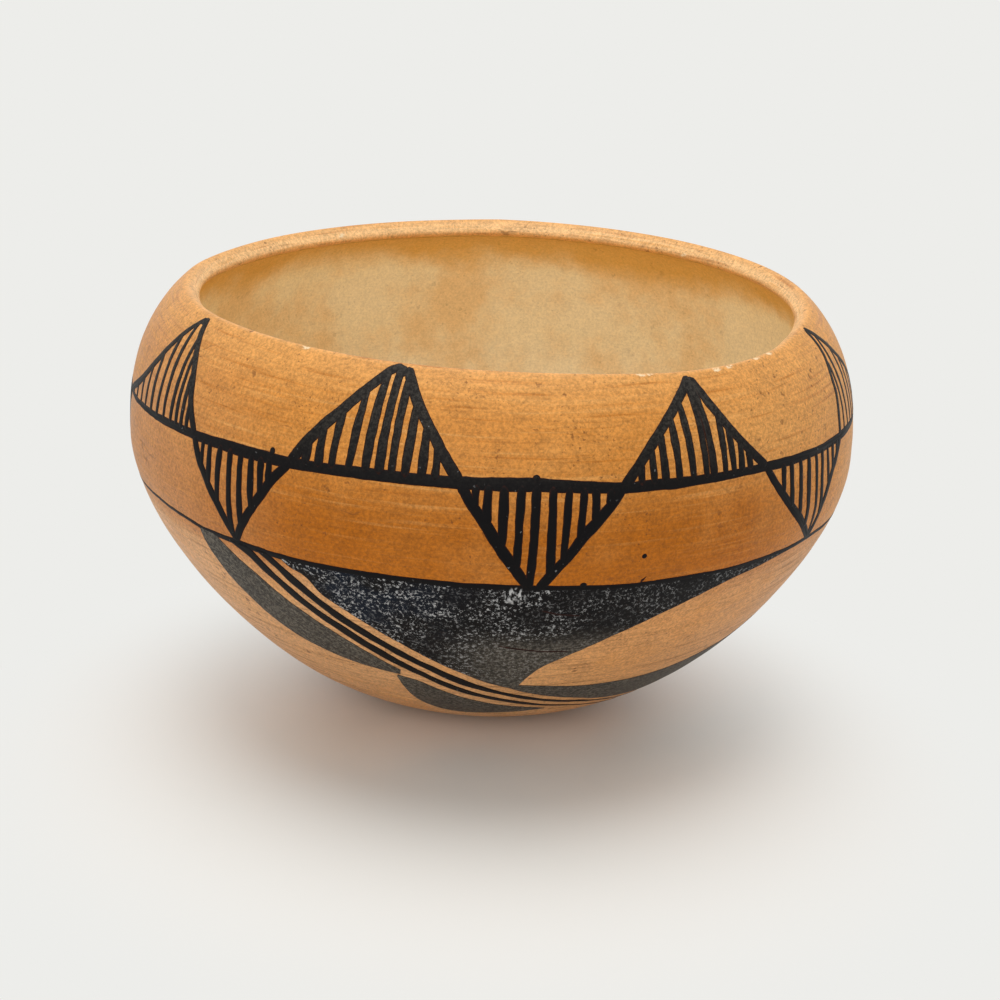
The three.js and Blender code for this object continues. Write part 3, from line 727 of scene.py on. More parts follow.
def clay_material(colours):
    """Burnished clay outside and wiped clay inside, with painted light and shade."""
    material, shader, _ = new_material("burnished_clay")
    tree = material.node_tree
    place = object_place(tree)
    x, y, z = place.split()
    worn = attribute(tree, "worn")
    over = attribute(tree, "inside") + place.noise(1 / 0.006, detail=3.0).ramp(0.3, 0.7, -0.07, 0.07)
    inside = over.ramp(0.36, 0.44)
    unrolled = vector_of(tree, maths("ARCTAN2", x, y * -1.0) * 0.09, z, inside * 0.3)

    broad = place.noise(1 / 0.07)
    cloud = place.noise(1 / 0.03, detail=4.0, roughness=0.6)
    mottle = place.noise(1 / 0.0045, detail=4.0, roughness=0.7)
    grain = place.noise(1 / 0.0008, detail=3.0, roughness=0.75)
    rubbed = unrolled.pattern("streaks", Length=36 * MM, Width=1.1 * MM)
    brushed = unrolled.pattern("streaks", Length=12 * MM, Width=0.5 * MM)

    # Partly richer clay and partly painted shade: the belt, turned away from the overhead light, is painted deeper,
    # and less so towards the right edge.
    belt = z.ramp(0.05, 0.062) * z.ramp(0.098, 0.074)
    belt = belt * broad.ramp(0.2, 0.5, 0.55, 1.0) * x.ramp(0.088, 0.06, 0.2, 1.0)
    across = cloud.times_plus(0.05, x)
    low = z.ramp(0.064, 0.057) * cloud.ramp(0.25, 0.5, 0.5, 1.0)
    # Painted light: the outside's right side, above the belt and along its right edge, is painted paler, as if the
    # light fell more strongly there.
    lit_side = across.ramp(0.055, 0.1) * z.ramp(0.078, 0.095).most(x.ramp(0.084, 0.096))
    shoulder = z.ramp(0.07, 0.098, 0.25, 1.0)
    smoke = rubbed.ramp(0.46, 0.68, 0.0, 0.42) * (low * cloud.ramp(0.36, 0.55))
    outside = layered(
        # Deeper along the belt: richer clay and painted shade.
        belt.blend(colours.clay, colours.clay_deep_and_shade),
        # Pinker and paler towards the left side.
        (across.ramp(-0.015, -0.075) * 0.8, colours.clay_pink),
        (low * x.ramp(-0.005, 0.04, 0.85, 0.52), colours.clay_low),
        (cloud.ramp(0.5, 0.75) * 0.25, colours.clay_pale_and_lit),
        # Painted light on the right side, and paler towards the lip.
        (lit_side.most(z.ramp(0.1, 0.1115)) * 0.6, colours.clay_pale_and_lit),
        # Painted highlight on the lip's top.
        (attribute(tree, "lip") * 0.75, colours.lip),
        (rubbed.ramp(0.52, 0.72, 0.0, 0.65) * shoulder, colours.clay_pale_and_lit),
        (rubbed.ramp(0.47, 0.27, 0.0, 0.6) * shoulder, colours.clay_deep_and_shade),
        (smoke, colours.grit))
    smudge = place.noise(1 / 0.009, detail=3.0, roughness=0.65).ramp(0.64, 0.78)
    within = layered(
        cloud.ramp(0.42, 0.66, 0.0, 0.7).blend(colours.inside, colours.inside_stain),
        # A darker orange band inside, just below the lip.
        (cloud.times_plus(0.014, z).ramp(0.1, 0.111, 0.0, 0.9), colours.inside_band),
        (smudge * 0.25, colours.grit))
    # Painted shade: a thin dark line just under the lip's inner edge, where the crevice would be shaded.
    crease_shade = over.ramp(0.42, 0.47) * over.ramp(0.56, 0.49)
    colour = (crease_shade * 0.4).blend(inside.blend(outside, within), colours.grit)

    tone = mottle.ramp(0.25, 0.75, -0.09, 0.09) + grain.ramp(0.3, 0.7, -0.24, 0.24)
    tone = (tone + brushed.ramp(0.3, 0.7, -0.05, 0.05)) * inside.ramp(0.0, 1.0, 1.0, 0.4)
    colour = add_node(tree, "ShaderNodeHueSaturation", {"Value": tone + 1.0, "Color": colour})

    fine = place.pattern("grit", Size=0.9 * MM, Share=0.42)
    coarse = place.pattern("grit", Size=2.2 * MM, Share=0.2)
    dots = (fine * 0.6).most(coarse * 0.65) * inside.ramp(0.0, 1.0, 1.0, 0.3)
    bent = place.vectors("ADD", place.noise(1 / 0.006, output=1).scaled(0.005))
    cell = add_node(tree, "ShaderNodeTexVoronoi", {"Vector": bent, "Scale": 1 / 0.016}, "Distance",
                    feature="DISTANCE_TO_EDGE")
    where_cracked = place.noise(1 / 0.017, detail=1.0).ramp(0.63, 0.69) * (1.0 - inside)
    crack = cell.ramp(0.012, 0.003) * where_cracked
    colour = layered(colour, (dots, colours.grit), (crack * 0.4, colours.grit),
                     (worn * grain.ramp(0.35, 0.55), colours.bare))
    colour.into(shader.inputs["Base Color"])
    (rubbed.ramp(0.3, 0.7, 0.4, 0.52) + inside * 0.28 + worn * 0.2).into(shader.inputs["Roughness"])
    shader.inputs["Specular IOR Level"].default_value = 0.2
    add_relief(shader, rubbed * 0.9 + brushed * 0.6 + grain * 0.5 - (dots + crack) * 0.6, 0.6, 0.2 * MM)
    return material


def slip_material(colours):
    """Black slip, brushed on: streaks along the stroke, a painted grey sheen, pale dust and thin brown edges."""
    material, shader, _ = new_material("black_slip")
    tree = material.node_tree
    place = object_place(tree)
    z = place.split()[2]
    drawn = add_node(tree, "ShaderNodeUVMap", uv_map="stroke")
    run = drawn.split()[0]
    full = attribute(tree, "sheen")
    is_wing = full.ramp(0.3, 0.5) * full.ramp(0.8, 0.6)

    streak = drawn.pattern("streaks", Length=14 * MM, Width=0.6 * MM)
    fleck = place.noise(1 / 0.0009, detail=4.0, roughness=0.8)
    blue = place.noise(1 / 0.016, detail=3.0, roughness=0.6).ramp(0.42, 0.62) * (is_wing * run.ramp(0.06, 0.03))
    # Painted sheen: grey on the wing's lower part, and on the upper triangles, which face up to the light.
    low_sheen = z.ramp(0.051, 0.041) * run.ramp(0.04, 0.066) * is_wing
    top_sheen = z.ramp(0.084, 0.104, 0.0, 0.24) * streak.ramp(0.3, 0.6, 0.5, 1.0)
    # Painted sheen on the broad shapes, as strong as the mesh's sheen value says.
    cover = streak.ramp(0.3, 0.66, 0.3, 1.0) * full.ramp(0.2, 1.0) * (1.0 - is_wing * 0.97)
    cover = cover.most(low_sheen * streak.ramp(0.3, 0.6, 0.4, 0.8)).most(top_sheen)

    spots = fleck.ramp(0.545, 0.605) * is_wing * place.noise(1 / 0.009, detail=3.0).ramp(0.38, 0.56, 0.2, 1.0)
    spots = spots * low_sheen.ramp(0.0, 1.0, 1.0, 0.25) * run.ramp(0.07, 0.1, 1.0, 0.45)
    few = place.pattern("grit", Size=0.8 * MM, Share=0.04)
    scratched = place.pattern("streaks", Length=1.2 * MM, Width=0.3 * MM).ramp(0.62, 0.7) * is_wing
    scuff = place.vectors("MULTIPLY", (1.0, 1.0, 0.18)).noise(1 / 0.0008).ramp(0.5, 0.6)
    by_scuff = place.vectors("DISTANCE", SCUFF_PLACE, "Value").ramp(0.0032, 0.0018)
    pale = (spots * 0.85).most(few * 0.35).most(scratched * 0.12).most(scuff * by_scuff)
    edge = attribute(tree, "thin") + fleck.times_plus(1.1, -0.6)
    colour = layered(
        blue.blend(colours.slip, colours.slip_blue),
        # Painted sheen.
        (cover * fleck.ramp(0.42, 0.6, 0.25, 1.0), colours.slip_sheen),
        (pale, colours.dust),
        (edge.ramp(0.35, 0.85, 0.0, 0.9), colours.slip_thin))
    colour.into(shader.inputs["Base Color"])
    streak.ramp(0.3, 0.7, 0.42, 0.62).into(shader.inputs["Roughness"])
    shader.inputs["Specular IOR Level"].default_value = 0.1
    add_relief(shader, streak * 0.6 + pale * 0.8, 0.4, 0.08 * MM)
    return material


def the_material(name):
    """The clay or the slip, made once."""
    if "grit" not in _made:
        _made["grit"] = grit_group()
        _made["streaks"] = streak_group()
    if name not in _made:
        makers = {"clay": clay_material, "slip": slip_material}
        _made[name] = makers[name](bpy.context.scene.bowl_colours)
    return _made[name]


# The clay

# Lengths of the faces along the section: outside, over the lip, close behind it and inside
OUTSIDE_STEP = 0.9 * MM
LIP_STEP = 0.22 * MM
BEHIND_LIP_STEP = 0.4 * MM
INSIDE_STEP = 1.4 * MM
# How far the outside's finish fades into the inside's, and where and how wide the painted highlight on the lip's top
# lies
INSIDE_FADE = 6 * MM
LIP_BAND_SHIFT = 0.6 * MM
LIP_BAND_WIDTH = 2.4 * MM
CHIP_SEED = 5


def clay_rows(section):
    """All rows of the clay's grid, and the ranges of them that belong to each piece."""
    marks = [0.0, section.foot_edge] + [section.length_at(level, section.outer_part) for level in COIL_LEVELS]
    marks += [section.lip_edge, section.lip_end]
    marks += [section.length_at(level, section.inner_part) for level in reversed(COIL_LEVELS)]
    marks += [section.floor_edge, section.end]
    rows = [0.0]
    at = [0]
    for start, end in zip(marks, marks[1:]):
        if start < section.lip_edge:
            step = OUTSIDE_STEP
        elif start < section.lip_end:
            step = LIP_STEP
        else:
            step = BEHIND_LIP_STEP if start == section.lip_end else INSIDE_STEP
        count = max(1, int(round((end - start) / step)))
        rows += list(np.linspace(start, end, count + 1))[1:]
        at.append(len(rows) - 1)
    pieces = {"base_dish": (range(0, at[2] + 1), range(at[-3], at[-1] + 1))}
    for coil in range(1, COIL_COUNT + 1):
        pieces["wall_coil_%d" % coil] = (
            range(at[coil + 1], at[coil + 2] + 1), range(at[-3 - coil], at[-2 - coil] + 1))
    pieces["rim_coil"] = (range(at[COIL_COUNT + 2], at[-3 - COIL_COUNT] + 1),)
    return np.array(rows), pieces


def ring_faces(row_count, steps, closed=False):
    """The faces between neighbouring rings of points, and from the last ring to the first if it is closed."""
    faces = []
    for row in range(row_count if closed else row_count - 1):
        here = row * steps
        above = (row + 1) % row_count * steps
        for step in range(steps):
            beside = (step + 1) % steps
            faces.append((here + step, here + beside, above + beside, above + step))
    return faces


def clay_grid(section, rows, steps, radius):
    """The whole skin of the clay as one flat grid that closes round the bowl."""
    points = np.zeros((len(rows), steps, 3))
    points[:, :, 0] = np.arange(steps) * (2 * math.pi * radius / steps)
    points[:, :, 1] = (rows - section.foot_edge)[:, None]
    mesh = bpy.data.meshes.new("clay_skin")
    mesh.from_pydata(points.reshape(-1, 3), [], ring_faces(len(rows), steps))
    return mesh


def chip_lip(points, normals, rows, wall):
    """Dents the lip where it was knocked, and says how bare each point is."""
    bare = np.zeros(points.shape[:2])
    around = np.degrees(np.arctan2(points[:, :, 0], -points[:, :, 1]))
    rng = np.random.default_rng(CHIP_SEED)
    for angle, over, half_width, half_height, depth in LIP_CHIPS:
        turned = ((around - angle + 180) % 360 - 180) * math.pi / 180
        across = turned * wall.form.lip_radius / (half_width * MM)
        along = ((rows - wall.section.lip_edge) / MM - over)[:, None] / half_height
        tilt = rng.uniform(-0.5, 0.5)
        distance = np.sqrt((across + tilt * along) ** 2 + along ** 2)
        dent = np.clip(1 - distance ** 2, 0, 1) ** 0.8
        points -= normals * (dent * depth * MM)[:, :, None]
        bare = np.maximum(bare, np.clip(dent * 2, 0, 1))
    return bare


def hold_values(mesh, values_by_name):
    """Puts values for each point on a mesh."""
    for name, values in values_by_name.items():
        layer = mesh.attributes.new(name, "FLOAT", "POINT")
        layer.data.foreach_set("value", np.array(values, np.float32).ravel())


def clay_piece(name, parts, points, normals, skins):
    """One coil or the base dish as a closed solid cut out of the clay's skin."""
    rows = [row for part in parts for row in part]
    steps = points.shape[1]
    is_dish = name == "base_dish"
    mesh = bpy.data.meshes.new(name + "_clay")
    mesh.from_pydata(points[rows].reshape(-1, 3), [], ring_faces(len(rows), steps, closed=not is_dish))
    hold_values(mesh, {label: values[rows] for label, values in skins.items()})
    mesh.materials.append(the_material("clay"))
    mesh.polygons.foreach_set("use_smooth", [True] * len(mesh.polygons))
    if is_dish:
        close_poles(mesh, steps)
    else:
        mesh.normals_split_custom_set_from_vertices([tuple(vector) for vector in normals[rows].reshape(-1, 3)])
    return linked(name + "_clay", mesh)


def close_poles(mesh, steps):
    """Draws the first and the last row of a dish, which lie on the axis, into one point each."""
    work = bmesh.new()
    work.from_mesh(mesh)
    points = list(work.verts)
    for row in (points[:steps], points[-steps:]):
        bmesh.ops.pointmerge(work, verts=row, merge_co=row[0].co.copy())
    work.to_mesh(mesh)
    work.free()


def vectors_of(owner, field, shape):
    """The vectors of all points of a mesh, in an array of that shape."""
    values = np.zeros(math.prod(shape))
    owner.foreach_get(field, values)
    return values.reshape(shape)


def make_clay():
    """The eight clay pieces, smooth across their joints."""
    wall = the_wall()
    section = wall.section
    steps = wall.form.turn_steps
    rows, pieces = clay_rows(section)
    grid = clay_grid(section, rows, steps, wall.form.widest_radius)
    skin = wall.lay("clay_skin", grid, the_material("clay"), painted=False)
    shape = (len(rows), steps, 3)
    points = vectors_of(skin.data.vertices, "co", shape)
    normals = vectors_of(skin.data.vertex_normals, "vector", shape)
    lip_middle = (section.lip_edge + section.lip_end) / 2 + LIP_BAND_SHIFT
    skins = {
        "inside": np.clip((rows - section.lip_end) / INSIDE_FADE + 0.5, 0, 1),
        # Where the painted highlight on the lip's top lies.
        "lip": np.exp(-((rows - lip_middle) / LIP_BAND_WIDTH) ** 2),
    }
    skins = {label: np.repeat(values[:, None], steps, 1) for label, values in skins.items()}
    skins["worn"] = chip_lip(points, normals, rows, wall)
    for name, parts in pieces.items():
        finish_piece(clay_piece(name, parts, points, normals, skins), [name])
    bpy.data.objects.remove(skin)


# The painting, drawn flat

# The length of a step along a stroke, and the points between two places of a table, along a blot, along a
# hatching stroke before it is cut, and round the bowl
STROKE_STEP = 0.8 * MM
CURVE_STEPS = 24
BLOT_POINTS = 13
HATCH_POINTS = 60
ROUND_POINTS = 720
SIDE_SEED = 70
HATCH_SEED = 40
# The points across a stroke, and across a fine line, as shares of its width
STROKE_ACROSS = [0, 0.1, 0.28, 0.5, 0.72, 0.9, 1]
FINE_LINE_ACROSS = [0, 0.12, 0.35, 0.65, 0.88, 1]
# A film with more points across than this has as many on its underside, so that it follows the wall
NARROW_POINTS = 9
# The film's underside lies within the clay, and its top thins out towards its edges and its ends
UNDERSIDE = -0.12 * MM
EDGE_WIDTH = 0.5 * MM
EDGE_FALL = 0.75
END_LENGTH = 3 * MM
# How high the strokes of a triangle stand, in thicknesses of the slip
SIDE_RISE = 1.4
HATCH_RISES = (1.7, 1.95)
BLOT_RISE = 1.8
# The spilt dot, and a blot on the wing's edge: degrees, millimetres above the lower line and radius
SPILT_DOT = (22.1, 8.4, 0.65)
WING_BLOT = (13.7, 0.9, 0.9)
SPILT_RISE = 1.5
# The slip of the brush below the dot: degrees and millimetres above the lower line
BRUSH_SLIP = [(22.2, 0.4), (22.5, 1.4), (23, 2.4)]


def turn_x(angle):
    """Degrees round the bowl as a distance at the widest radius."""
    return math.radians(angle) * the_wall().form.widest_radius


def smooth_line(points, step):
    """A smooth curve through points, cut into steps of about that length."""
    points = np.array(points, float)
    padded = np.concatenate([[2 * points[0] - points[1]], points, [2 * points[-1] - points[-2]]])
    t = np.linspace(0, 1, CURVE_STEPS, endpoint=False)[:, None]
    pieces = []
    for before, start, end, after in zip(padded, padded[1:], padded[2:], padded[3:]):
        pieces.append(0.5 * (2 * start + (end - before) * t + (2 * before - 5 * start + 4 * end - after) * t ** 2
                             + (3 * start - before - 3 * end + after) * t ** 3))
    return resampled(np.concatenate(pieces + [points[-1:]]), step)


class Film:
    """A painted piece in the making: closed thin shells drawn flat."""

    def __init__(self):
        self.points = []
        self.faces = []
        self.thin = []
        self.sheen = []
        self.drawn = []

    def add(self, left, right, height, across, thin_ends=(0.0, 0.0), sheen=0.0):
        """A shell between two edges with as many points each. Its top thins out to both edges."""
        share = np.array(across)
        rim = np.minimum(share, 1 - share)
        width = np.maximum(np.hypot(*(right - left).T), 1e-5)
        run = lengths_along((left + right) / 2)
        bottom = [(at, UNDERSIDE, 1.0) for at in (share[::-1] if len(share) > NARROW_POINTS else (1.0, 0.0))]
        first = len(self.points)
        for station in range(len(left)):
            near_edge = np.clip(1 - rim * width[station] / EDGE_WIDTH, 0, 1)
            from_start = run[station] / END_LENGTH
            from_end = (run[-1] - run[station]) / END_LENGTH
            end_thin = max(thin_ends[0] * (1 - min(from_start, 1)), thin_ends[1] * (1 - min(from_end, 1)))
            top = [(at, height * (1 - EDGE_FALL * near), max(near, end_thin)) for at, near in zip(share, near_edge)]
            for at, up, thin in top + bottom:
                x, y = left[station] + at * (right[station] - left[station])
                self.points.append((x, y, up))
                self.thin.append(thin)
                self.drawn.append((run[station], at * width[station]))
        ring = len(share) + len(bottom)
        end = len(self.points)
        # How much painted sheen each point of the shell gets.
        self.sheen += [sheen] * (end - first)
        self.faces += [tuple(first + corner for corner in face) for face in ring_faces(len(left), ring)]
        self.faces += [tuple(range(first, first + ring))[::-1], tuple(range(end - ring, end))]

    def follow(self, line, half, height, thin_ends=(0.0, 0.0)):
        """A shell that reaches half its width to both sides of a line."""
        aside = sideways(line) * half[:, None]
        self.add(line + aside, line - aside, height, STROKE_ACROSS, thin_ends)

    def stroke(self, line, width, height, start=0.0, end=0.0, thin_ends=(0.0, 0.0), swell=0.0, seed=0):
        """A brush stroke along a line: start and end say how much narrower it is there."""
        run = lengths_along(line)
        total = run[-1]
        share = run / total
        half = np.full(len(line), width / 2)
        half *= 1 - start * np.clip(1 - share * 4, 0, 1) ** 2 - end * np.clip(1 - (1 - share) * 4, 0, 1) ** 2
        half *= 1 + swell * np.sin(share * (5 + seed % 4) + seed * 1.7)
        for distance in (run, total - run):
            half *= np.sqrt(np.clip(1 - (1 - np.clip(distance / (width * 0.5), 0, 1)) ** 2, 0.02, 1))
        self.follow(line, half, height, thin_ends)

    def blot(self, x, y, radius, height):
        """A drop of slip."""
        line = np.stack([np.full(BLOT_POINTS, x), y + np.linspace(-radius, radius, BLOT_POINTS)], 1)
        self.stroke(line, radius * 2, height)

    def spill(self, blot, turned_by, thickness):
        """A drop beside the lower line."""
        angle, up, radius = blot
        x, y = turn_x(angle + turned_by), lower_y(angle + turned_by)
        self.blot(x, y + up * MM, radius * MM, thickness * SPILT_RISE)

    def laid(self, name):
        """The film as a finished mesh on the wall."""
        mesh = bpy.data.meshes.new(name)
        mesh.from_pydata(self.points, [], self.faces)
        hold_values(mesh, {"thin": self.thin, "sheen": self.sheen})
        corners = np.zeros(len(mesh.loops), np.int32)
        mesh.loops.foreach_get("vertex_index", corners)
        drawn = np.array(self.drawn, np.float32)[corners]
        mesh.uv_layers.new(name="stroke").data.foreach_set("uv", drawn.ravel())
        work = bmesh.new()
        work.from_mesh(mesh)
        bmesh.ops.recalc_face_normals(work, faces=work.faces)
        bmesh.ops.triangulate(work, faces=[face for face in work.faces if len(face.verts) > 4])
        work.to_mesh(mesh)
        work.free()
        return the_wall().lay(name, mesh, the_material("slip"), painted=True)


def table_at(angle, table):
    """A value read from a table of degrees and values that closes round the bowl."""
    angles = [row[0] for row in table] + [table[0][0] + 360]
    values = [row[1] for row in table] + [table[0][1]]
    return float(np.interp((angle - angles[0]) % 360 + angles[0], angles, values))


def lower_level():
    """The lower line's height along the wall without its sag."""
    return the_wall().section.widest_up - bpy.context.scene.bowl_painting.lower_fall


def lower_y(angle):
    """The lower line's height along the wall at an angle."""
    return lower_level() - table_at(angle, LOWER_SAG) * MM


def middle_y(angle):
    """The middle line's height along the wall at an angle."""
    lip = the_wall().section.wall_length
    fall = (lip - lower_level()) * bpy.context.scene.bowl_painting.middle_share
    return lip - fall - table_at(angle, MIDDLE_SAG) * MM


def round_line(height_at, width, widths, height):
    """A line painted right round the bowl, which starts and ends behind."""
    angles = np.linspace(-180, 180, ROUND_POINTS)
    half = width / 2 * np.array([table_at(angle, widths) for angle in angles])
    half *= 1 + 0.07 * np.sin(np.radians(angles) * 7 + 1) + 0.05 * np.sin(np.radians(angles) * 17)
    film = Film()
    film.follow(np.array([(turn_x(angle), height_at(angle)) for angle in angles]), half, height)
    return film


def triangle_sides(index):
    """The two long strokes of a triangle as smooth lines from the middle line to its point."""
    edge = the_wall().section.wall_length
    routes = SIDE_ROUTES.get(index)
    if routes is None:
        next_angle = (CROSSING_ANGLES + [CROSSING_ANGLES[0] + 360])[index + 1]
        apex = APEX_ANGLES[index]
        rng = np.random.default_rng(SIDE_SEED + index)
        end = 1.0 if index % 2 else 1 - APEX_INSETS[index] * MM / (edge - middle_y(apex))
        routes = []
        for corner in (CROSSING_ANGLES[index], next_angle):
            bend = rng.uniform(-0.06, 0.1) * (apex - corner)
            routes.append([(corner, 0), (corner + (apex - corner) * 0.5 - bend, end * 0.5), (apex, end)])
    sides = []
    for route in routes:
        placed = []
        for angle, share in route:
            start = middle_y(angle)
            goal = lower_y(angle) if index % 2 else edge
            placed.append((turn_x(angle), start + (goal - start) * share))
        sides.append(smooth_line(placed, STROKE_STEP))
    return sides


def hatch_line(sides, foot_x, lean, bend):
    """A hatching stroke from the middle line up or down to the side that it meets."""
    foot_y = middle_y(math.degrees(foot_x / the_wall().form.widest_radius))
    tip_y = (sides[0][-1, 1] + sides[1][-1, 1]) / 2
    order = 1 if tip_y > foot_y else -1
    line = []
    for share in np.linspace(0, 1, HATCH_POINTS):
        x = foot_x + lean * share + bend * math.sin(share * math.pi)
        y = foot_y + (tip_y - foot_y) * share
        bounds = [np.interp(y * order, side[:, 1] * order, side[:, 0]) for side in sides]
        line.append((x, y))
        if share > 0.02 and not bounds[0] < x < bounds[1]:
            break
    return resampled(np.array(line), STROKE_STEP)


def triangle_film(index, painting):
    """One hatched triangle: two long strokes from the middle line to its point, and its hatching."""
    thickness = painting.thickness
    slim = STROKE_SHARES.get(index, 1)
    sides = triangle_sides(index)
    film = Film()
    for number, line in enumerate(sides):
        film.stroke(line, painting.side_width * slim, thickness * SIDE_RISE, end=0.15, swell=0.05,
                    seed=index * 2 + number)
    left, right = sides[0][0, 0], sides[1][0, 0]
    width = right - left
    feet = HATCH_FEET.get(index)
    if feet is None:
        count = max(1, round(width / HATCH_PITCH))
        feet = [(k + 1) / (count + 1) for k in range(count)]
    rng = np.random.default_rng(HATCH_SEED + index)
    for number, foot_share in enumerate(feet):
        lean = (HATCH_LEAN_SHARES[index] + rng.normal(0, 0.012)) * width
        line = hatch_line(sides, left + foot_share * width, lean, rng.normal(0, 0.22 * MM))
        if len(line) < 3:
            continue
        stroke_width = painting.hatch_width * slim * rng.uniform(0.86, 1.12)
        film.stroke(line, stroke_width, thickness * HATCH_RISES[number % 2], start=0.1, end=0.2, swell=0.08,
                    thin_ends=(rng.uniform(0.0, 0.9) ** 2, 0.15), seed=index * 20 + number)
    for angle, reach, radius in TRIANGLE_BUMPS.get(index, []):
        film.blot(turn_x(angle), middle_y(angle) + reach * MM, radius * MM, thickness * BLOT_RISE)
    for angle, drop, radius in APEX_BLOTS.get(index, []):
        film.blot(turn_x(angle), the_wall().section.wall_length - drop * MM, radius * MM, thickness * BLOT_RISE)
    return film


class BOWL_OT_clay(bpy.types.Operator):
    """Build the base dish, the wall coils and the rim coil as smooth burnished clay"""
    bl_idname = "bowl.clay"
    bl_label = "Clay pieces"

    def execute(self, context):
        make_clay()
        return {"FINISHED"}


class BOWL_OT_belt(bpy.types.Operator):
    """Paint the two lines round the bowl and the hatched triangles between them"""
    bl_idname = "bowl.belt"
    bl_label = "Belt of triangles"

    def execute(self, context):
        painting = context.scene.bowl_painting
        thickness = painting.thickness
        films = {
            "middle_line": round_line(middle_y, painting.middle_width, MIDDLE_WIDTHS, thickness),
            "lower_line": round_line(lower_y, painting.lower_width, LOWER_WIDTHS, thickness * 1.2),
        }
        for index in range(len(CROSSING_ANGLES)):
            name = "%s_triangle_%d" % ("lower" if index % 2 else "upper", index // 2 + 1)
            films[name] = triangle_film(index, painting)
        for name, film in films.items():
            finish_piece(film.laid(name + "_paint"), [name])
        drop = Film()
        drop.spill(SPILT_DOT, 0, thickness)
        tick = [(turn_x(angle), lower_y(angle) + up * MM) for angle, up in BRUSH_SLIP]
        drop.stroke(np.array(tick), 0.7 * MM, thickness, thin_ends=(1.6, 1.6))
        finish_piece(drop.laid("paint_drop"), [])
        return {"FINISHED"}


def below_line(points, turned_by):
    """Places of the wing group on the flat drawing."""
    places = [(angle + turned_by, share) for angle, share in points]
    return np.array([(turn_x(angle), lower_y(angle) * (1 - share)) for angle, share in places])


def even_shares(count):
    """Shares across a wide patch, closer at its edges."""
    inner = np.linspace(0, 1, count)
    return sorted({0.0, 0.015, 0.985, 1.0} | {round(float(share), 5) for share in inner})


# The patches and the fine lines of a wing group: lower and upper edge, height in thicknesses of the slip,
# points along, shares across and how much painted sheen they get
WING_GROUP = {
    "tail_%d": (TAIL_LOW, TAIL_HIGH, 1.1, 130, even_shares(20), 1.0),
    "crescent_%d": (CRESCENT_LOW, CRESCENT_HIGH, 1.1, 130, even_shares(18), 1.0),
    "low_crescent_%d": (LOW_CRESCENT_LOW, LOW_CRESCENT_HIGH, 1.1, 130, even_shares(16), 1.0),
    "fine_line_%da": (INNER_LOW, INNER_HIGH, 1.3, 170, FINE_LINE_ACROSS, 0.25),
    "fine_line_%db": (OUTER_LOW, OUTER_HIGH, 1.3, 170, FINE_LINE_ACROSS, 0.25),
}


def patch_film(low, high, height, count, across, sheen):
    """A filled patch between its lower and its upper edge."""
    film = Film()
    film.add(spread(smooth_line(high, STROKE_STEP), count), spread(smooth_line(low, STROKE_STEP), count),
             height, across, sheen=sheen)
    return film


def wing_film(turned_by, painting):
    """The wing: filled from the lower line straight down to its lower edge."""
    low = np.concatenate([smooth_line(below_line(WING_LEFT, turned_by), MM),
                          smooth_line(below_line(WING_RIGHT, turned_by), MM)[1:]])
    radius = the_wall().form.widest_radius
    high = np.array([(x, lower_y(math.degrees(x / radius))) for x, y in low])
    film = Film()
    film.add(high, low, painting.thickness, even_shares(34), sheen=0.5)
    film.spill(WING_BLOT, turned_by, painting.thickness)
    for mark in BRUSH_MARKS:
        film.stroke(smooth_line(below_line(mark, turned_by), STROKE_STEP), 0.55 * MM, painting.thickness * 4,
                    start=0.4, end=0.4)
    return film


class BOWL_OT_wings(bpy.types.Operator):
    """Paint the two wing groups below the belt"""
    bl_idname = "bowl.wings"
    bl_label = "Wing groups"

    def execute(self, context):
        painting = context.scene.bowl_painting
        for number, turned_by in enumerate(WING_TURNS, 1):
            films = {"wing_%d" % number: wing_film(turned_by, painting)}
            for name, (low, high, rise, *others) in WING_GROUP.items():
                films[name % number] = patch_film(
                    below_line(low, turned_by), below_line(high, turned_by), painting.thickness * rise, *others)
            for name, film in films.items():
                finish_piece(film.laid(name + "_paint"), [name])
        return {"FINISHED"}


# The stage

# The soft round lamps: place, width and power. They face the middle of the bowl.
LAMPS = {"key_lamp": ((-0.08, 0.16, 1.4), 1.2, 11.5), "fill_lamp": ((-0.3, -1.4, 0.75), 1.0, 3.8)}
LAMP_TARGET = (0, 0, 0.06)
# The floor in metres: its front edge, where it starts to rise, how it curves up, its height and half its width
FLOOR_FRONT, FLOOR_BACK, FLOOR_RISE, BACKDROP_HEIGHT, FLOOR_HALF = -2.0, 0.75, 0.35, 2.2, 2.5
RISE_STEPS = 12
SENSOR_WIDTH = 36


def seen_directly(tree):
    """1 for what the camera sees, also in a reflection or through glass, and 0 for the light that lands elsewhere."""
    seen = all_outputs(tree, "ShaderNodeLightPath")
    return seen["Is Camera Ray"].most(seen["Is Glossy Ray"]).most(seen["Is Transmission Ray"])


def stage_material(stage):
    """Pale paper with faint stains, which the camera sees as evenly white away from the bowl."""
    material, shader, ending = new_material("pale_paper")
    tree = material.node_tree
    place = object_place(tree)
    stain = place.noise(9.0, detail=6.0, roughness=0.65).ramp(0.5, 0.8)
    soiled = [value * 0.92 for value in stage.floor]
    (stain * 0.5).blend(stage.floor, soiled).into(shader.inputs["Base Color"])
    shader.inputs["Roughness"].default_value = 0.85
    shader.inputs["Specular IOR Level"].default_value = 0.1
    away = place.vectors("DISTANCE", (0.0, -0.06, 0.0), "Value").ramp(0.03, 0.142)
    white = add_node(tree, "ShaderNodeEmission", {"Color": opaque(stage.backdrop)})
    paper = Wire(shader.outputs[0])
    add_node(tree, "ShaderNodeMixShader", {0: seen_directly(tree) * away, 1: paper, 2: white}).into(ending)
    return material


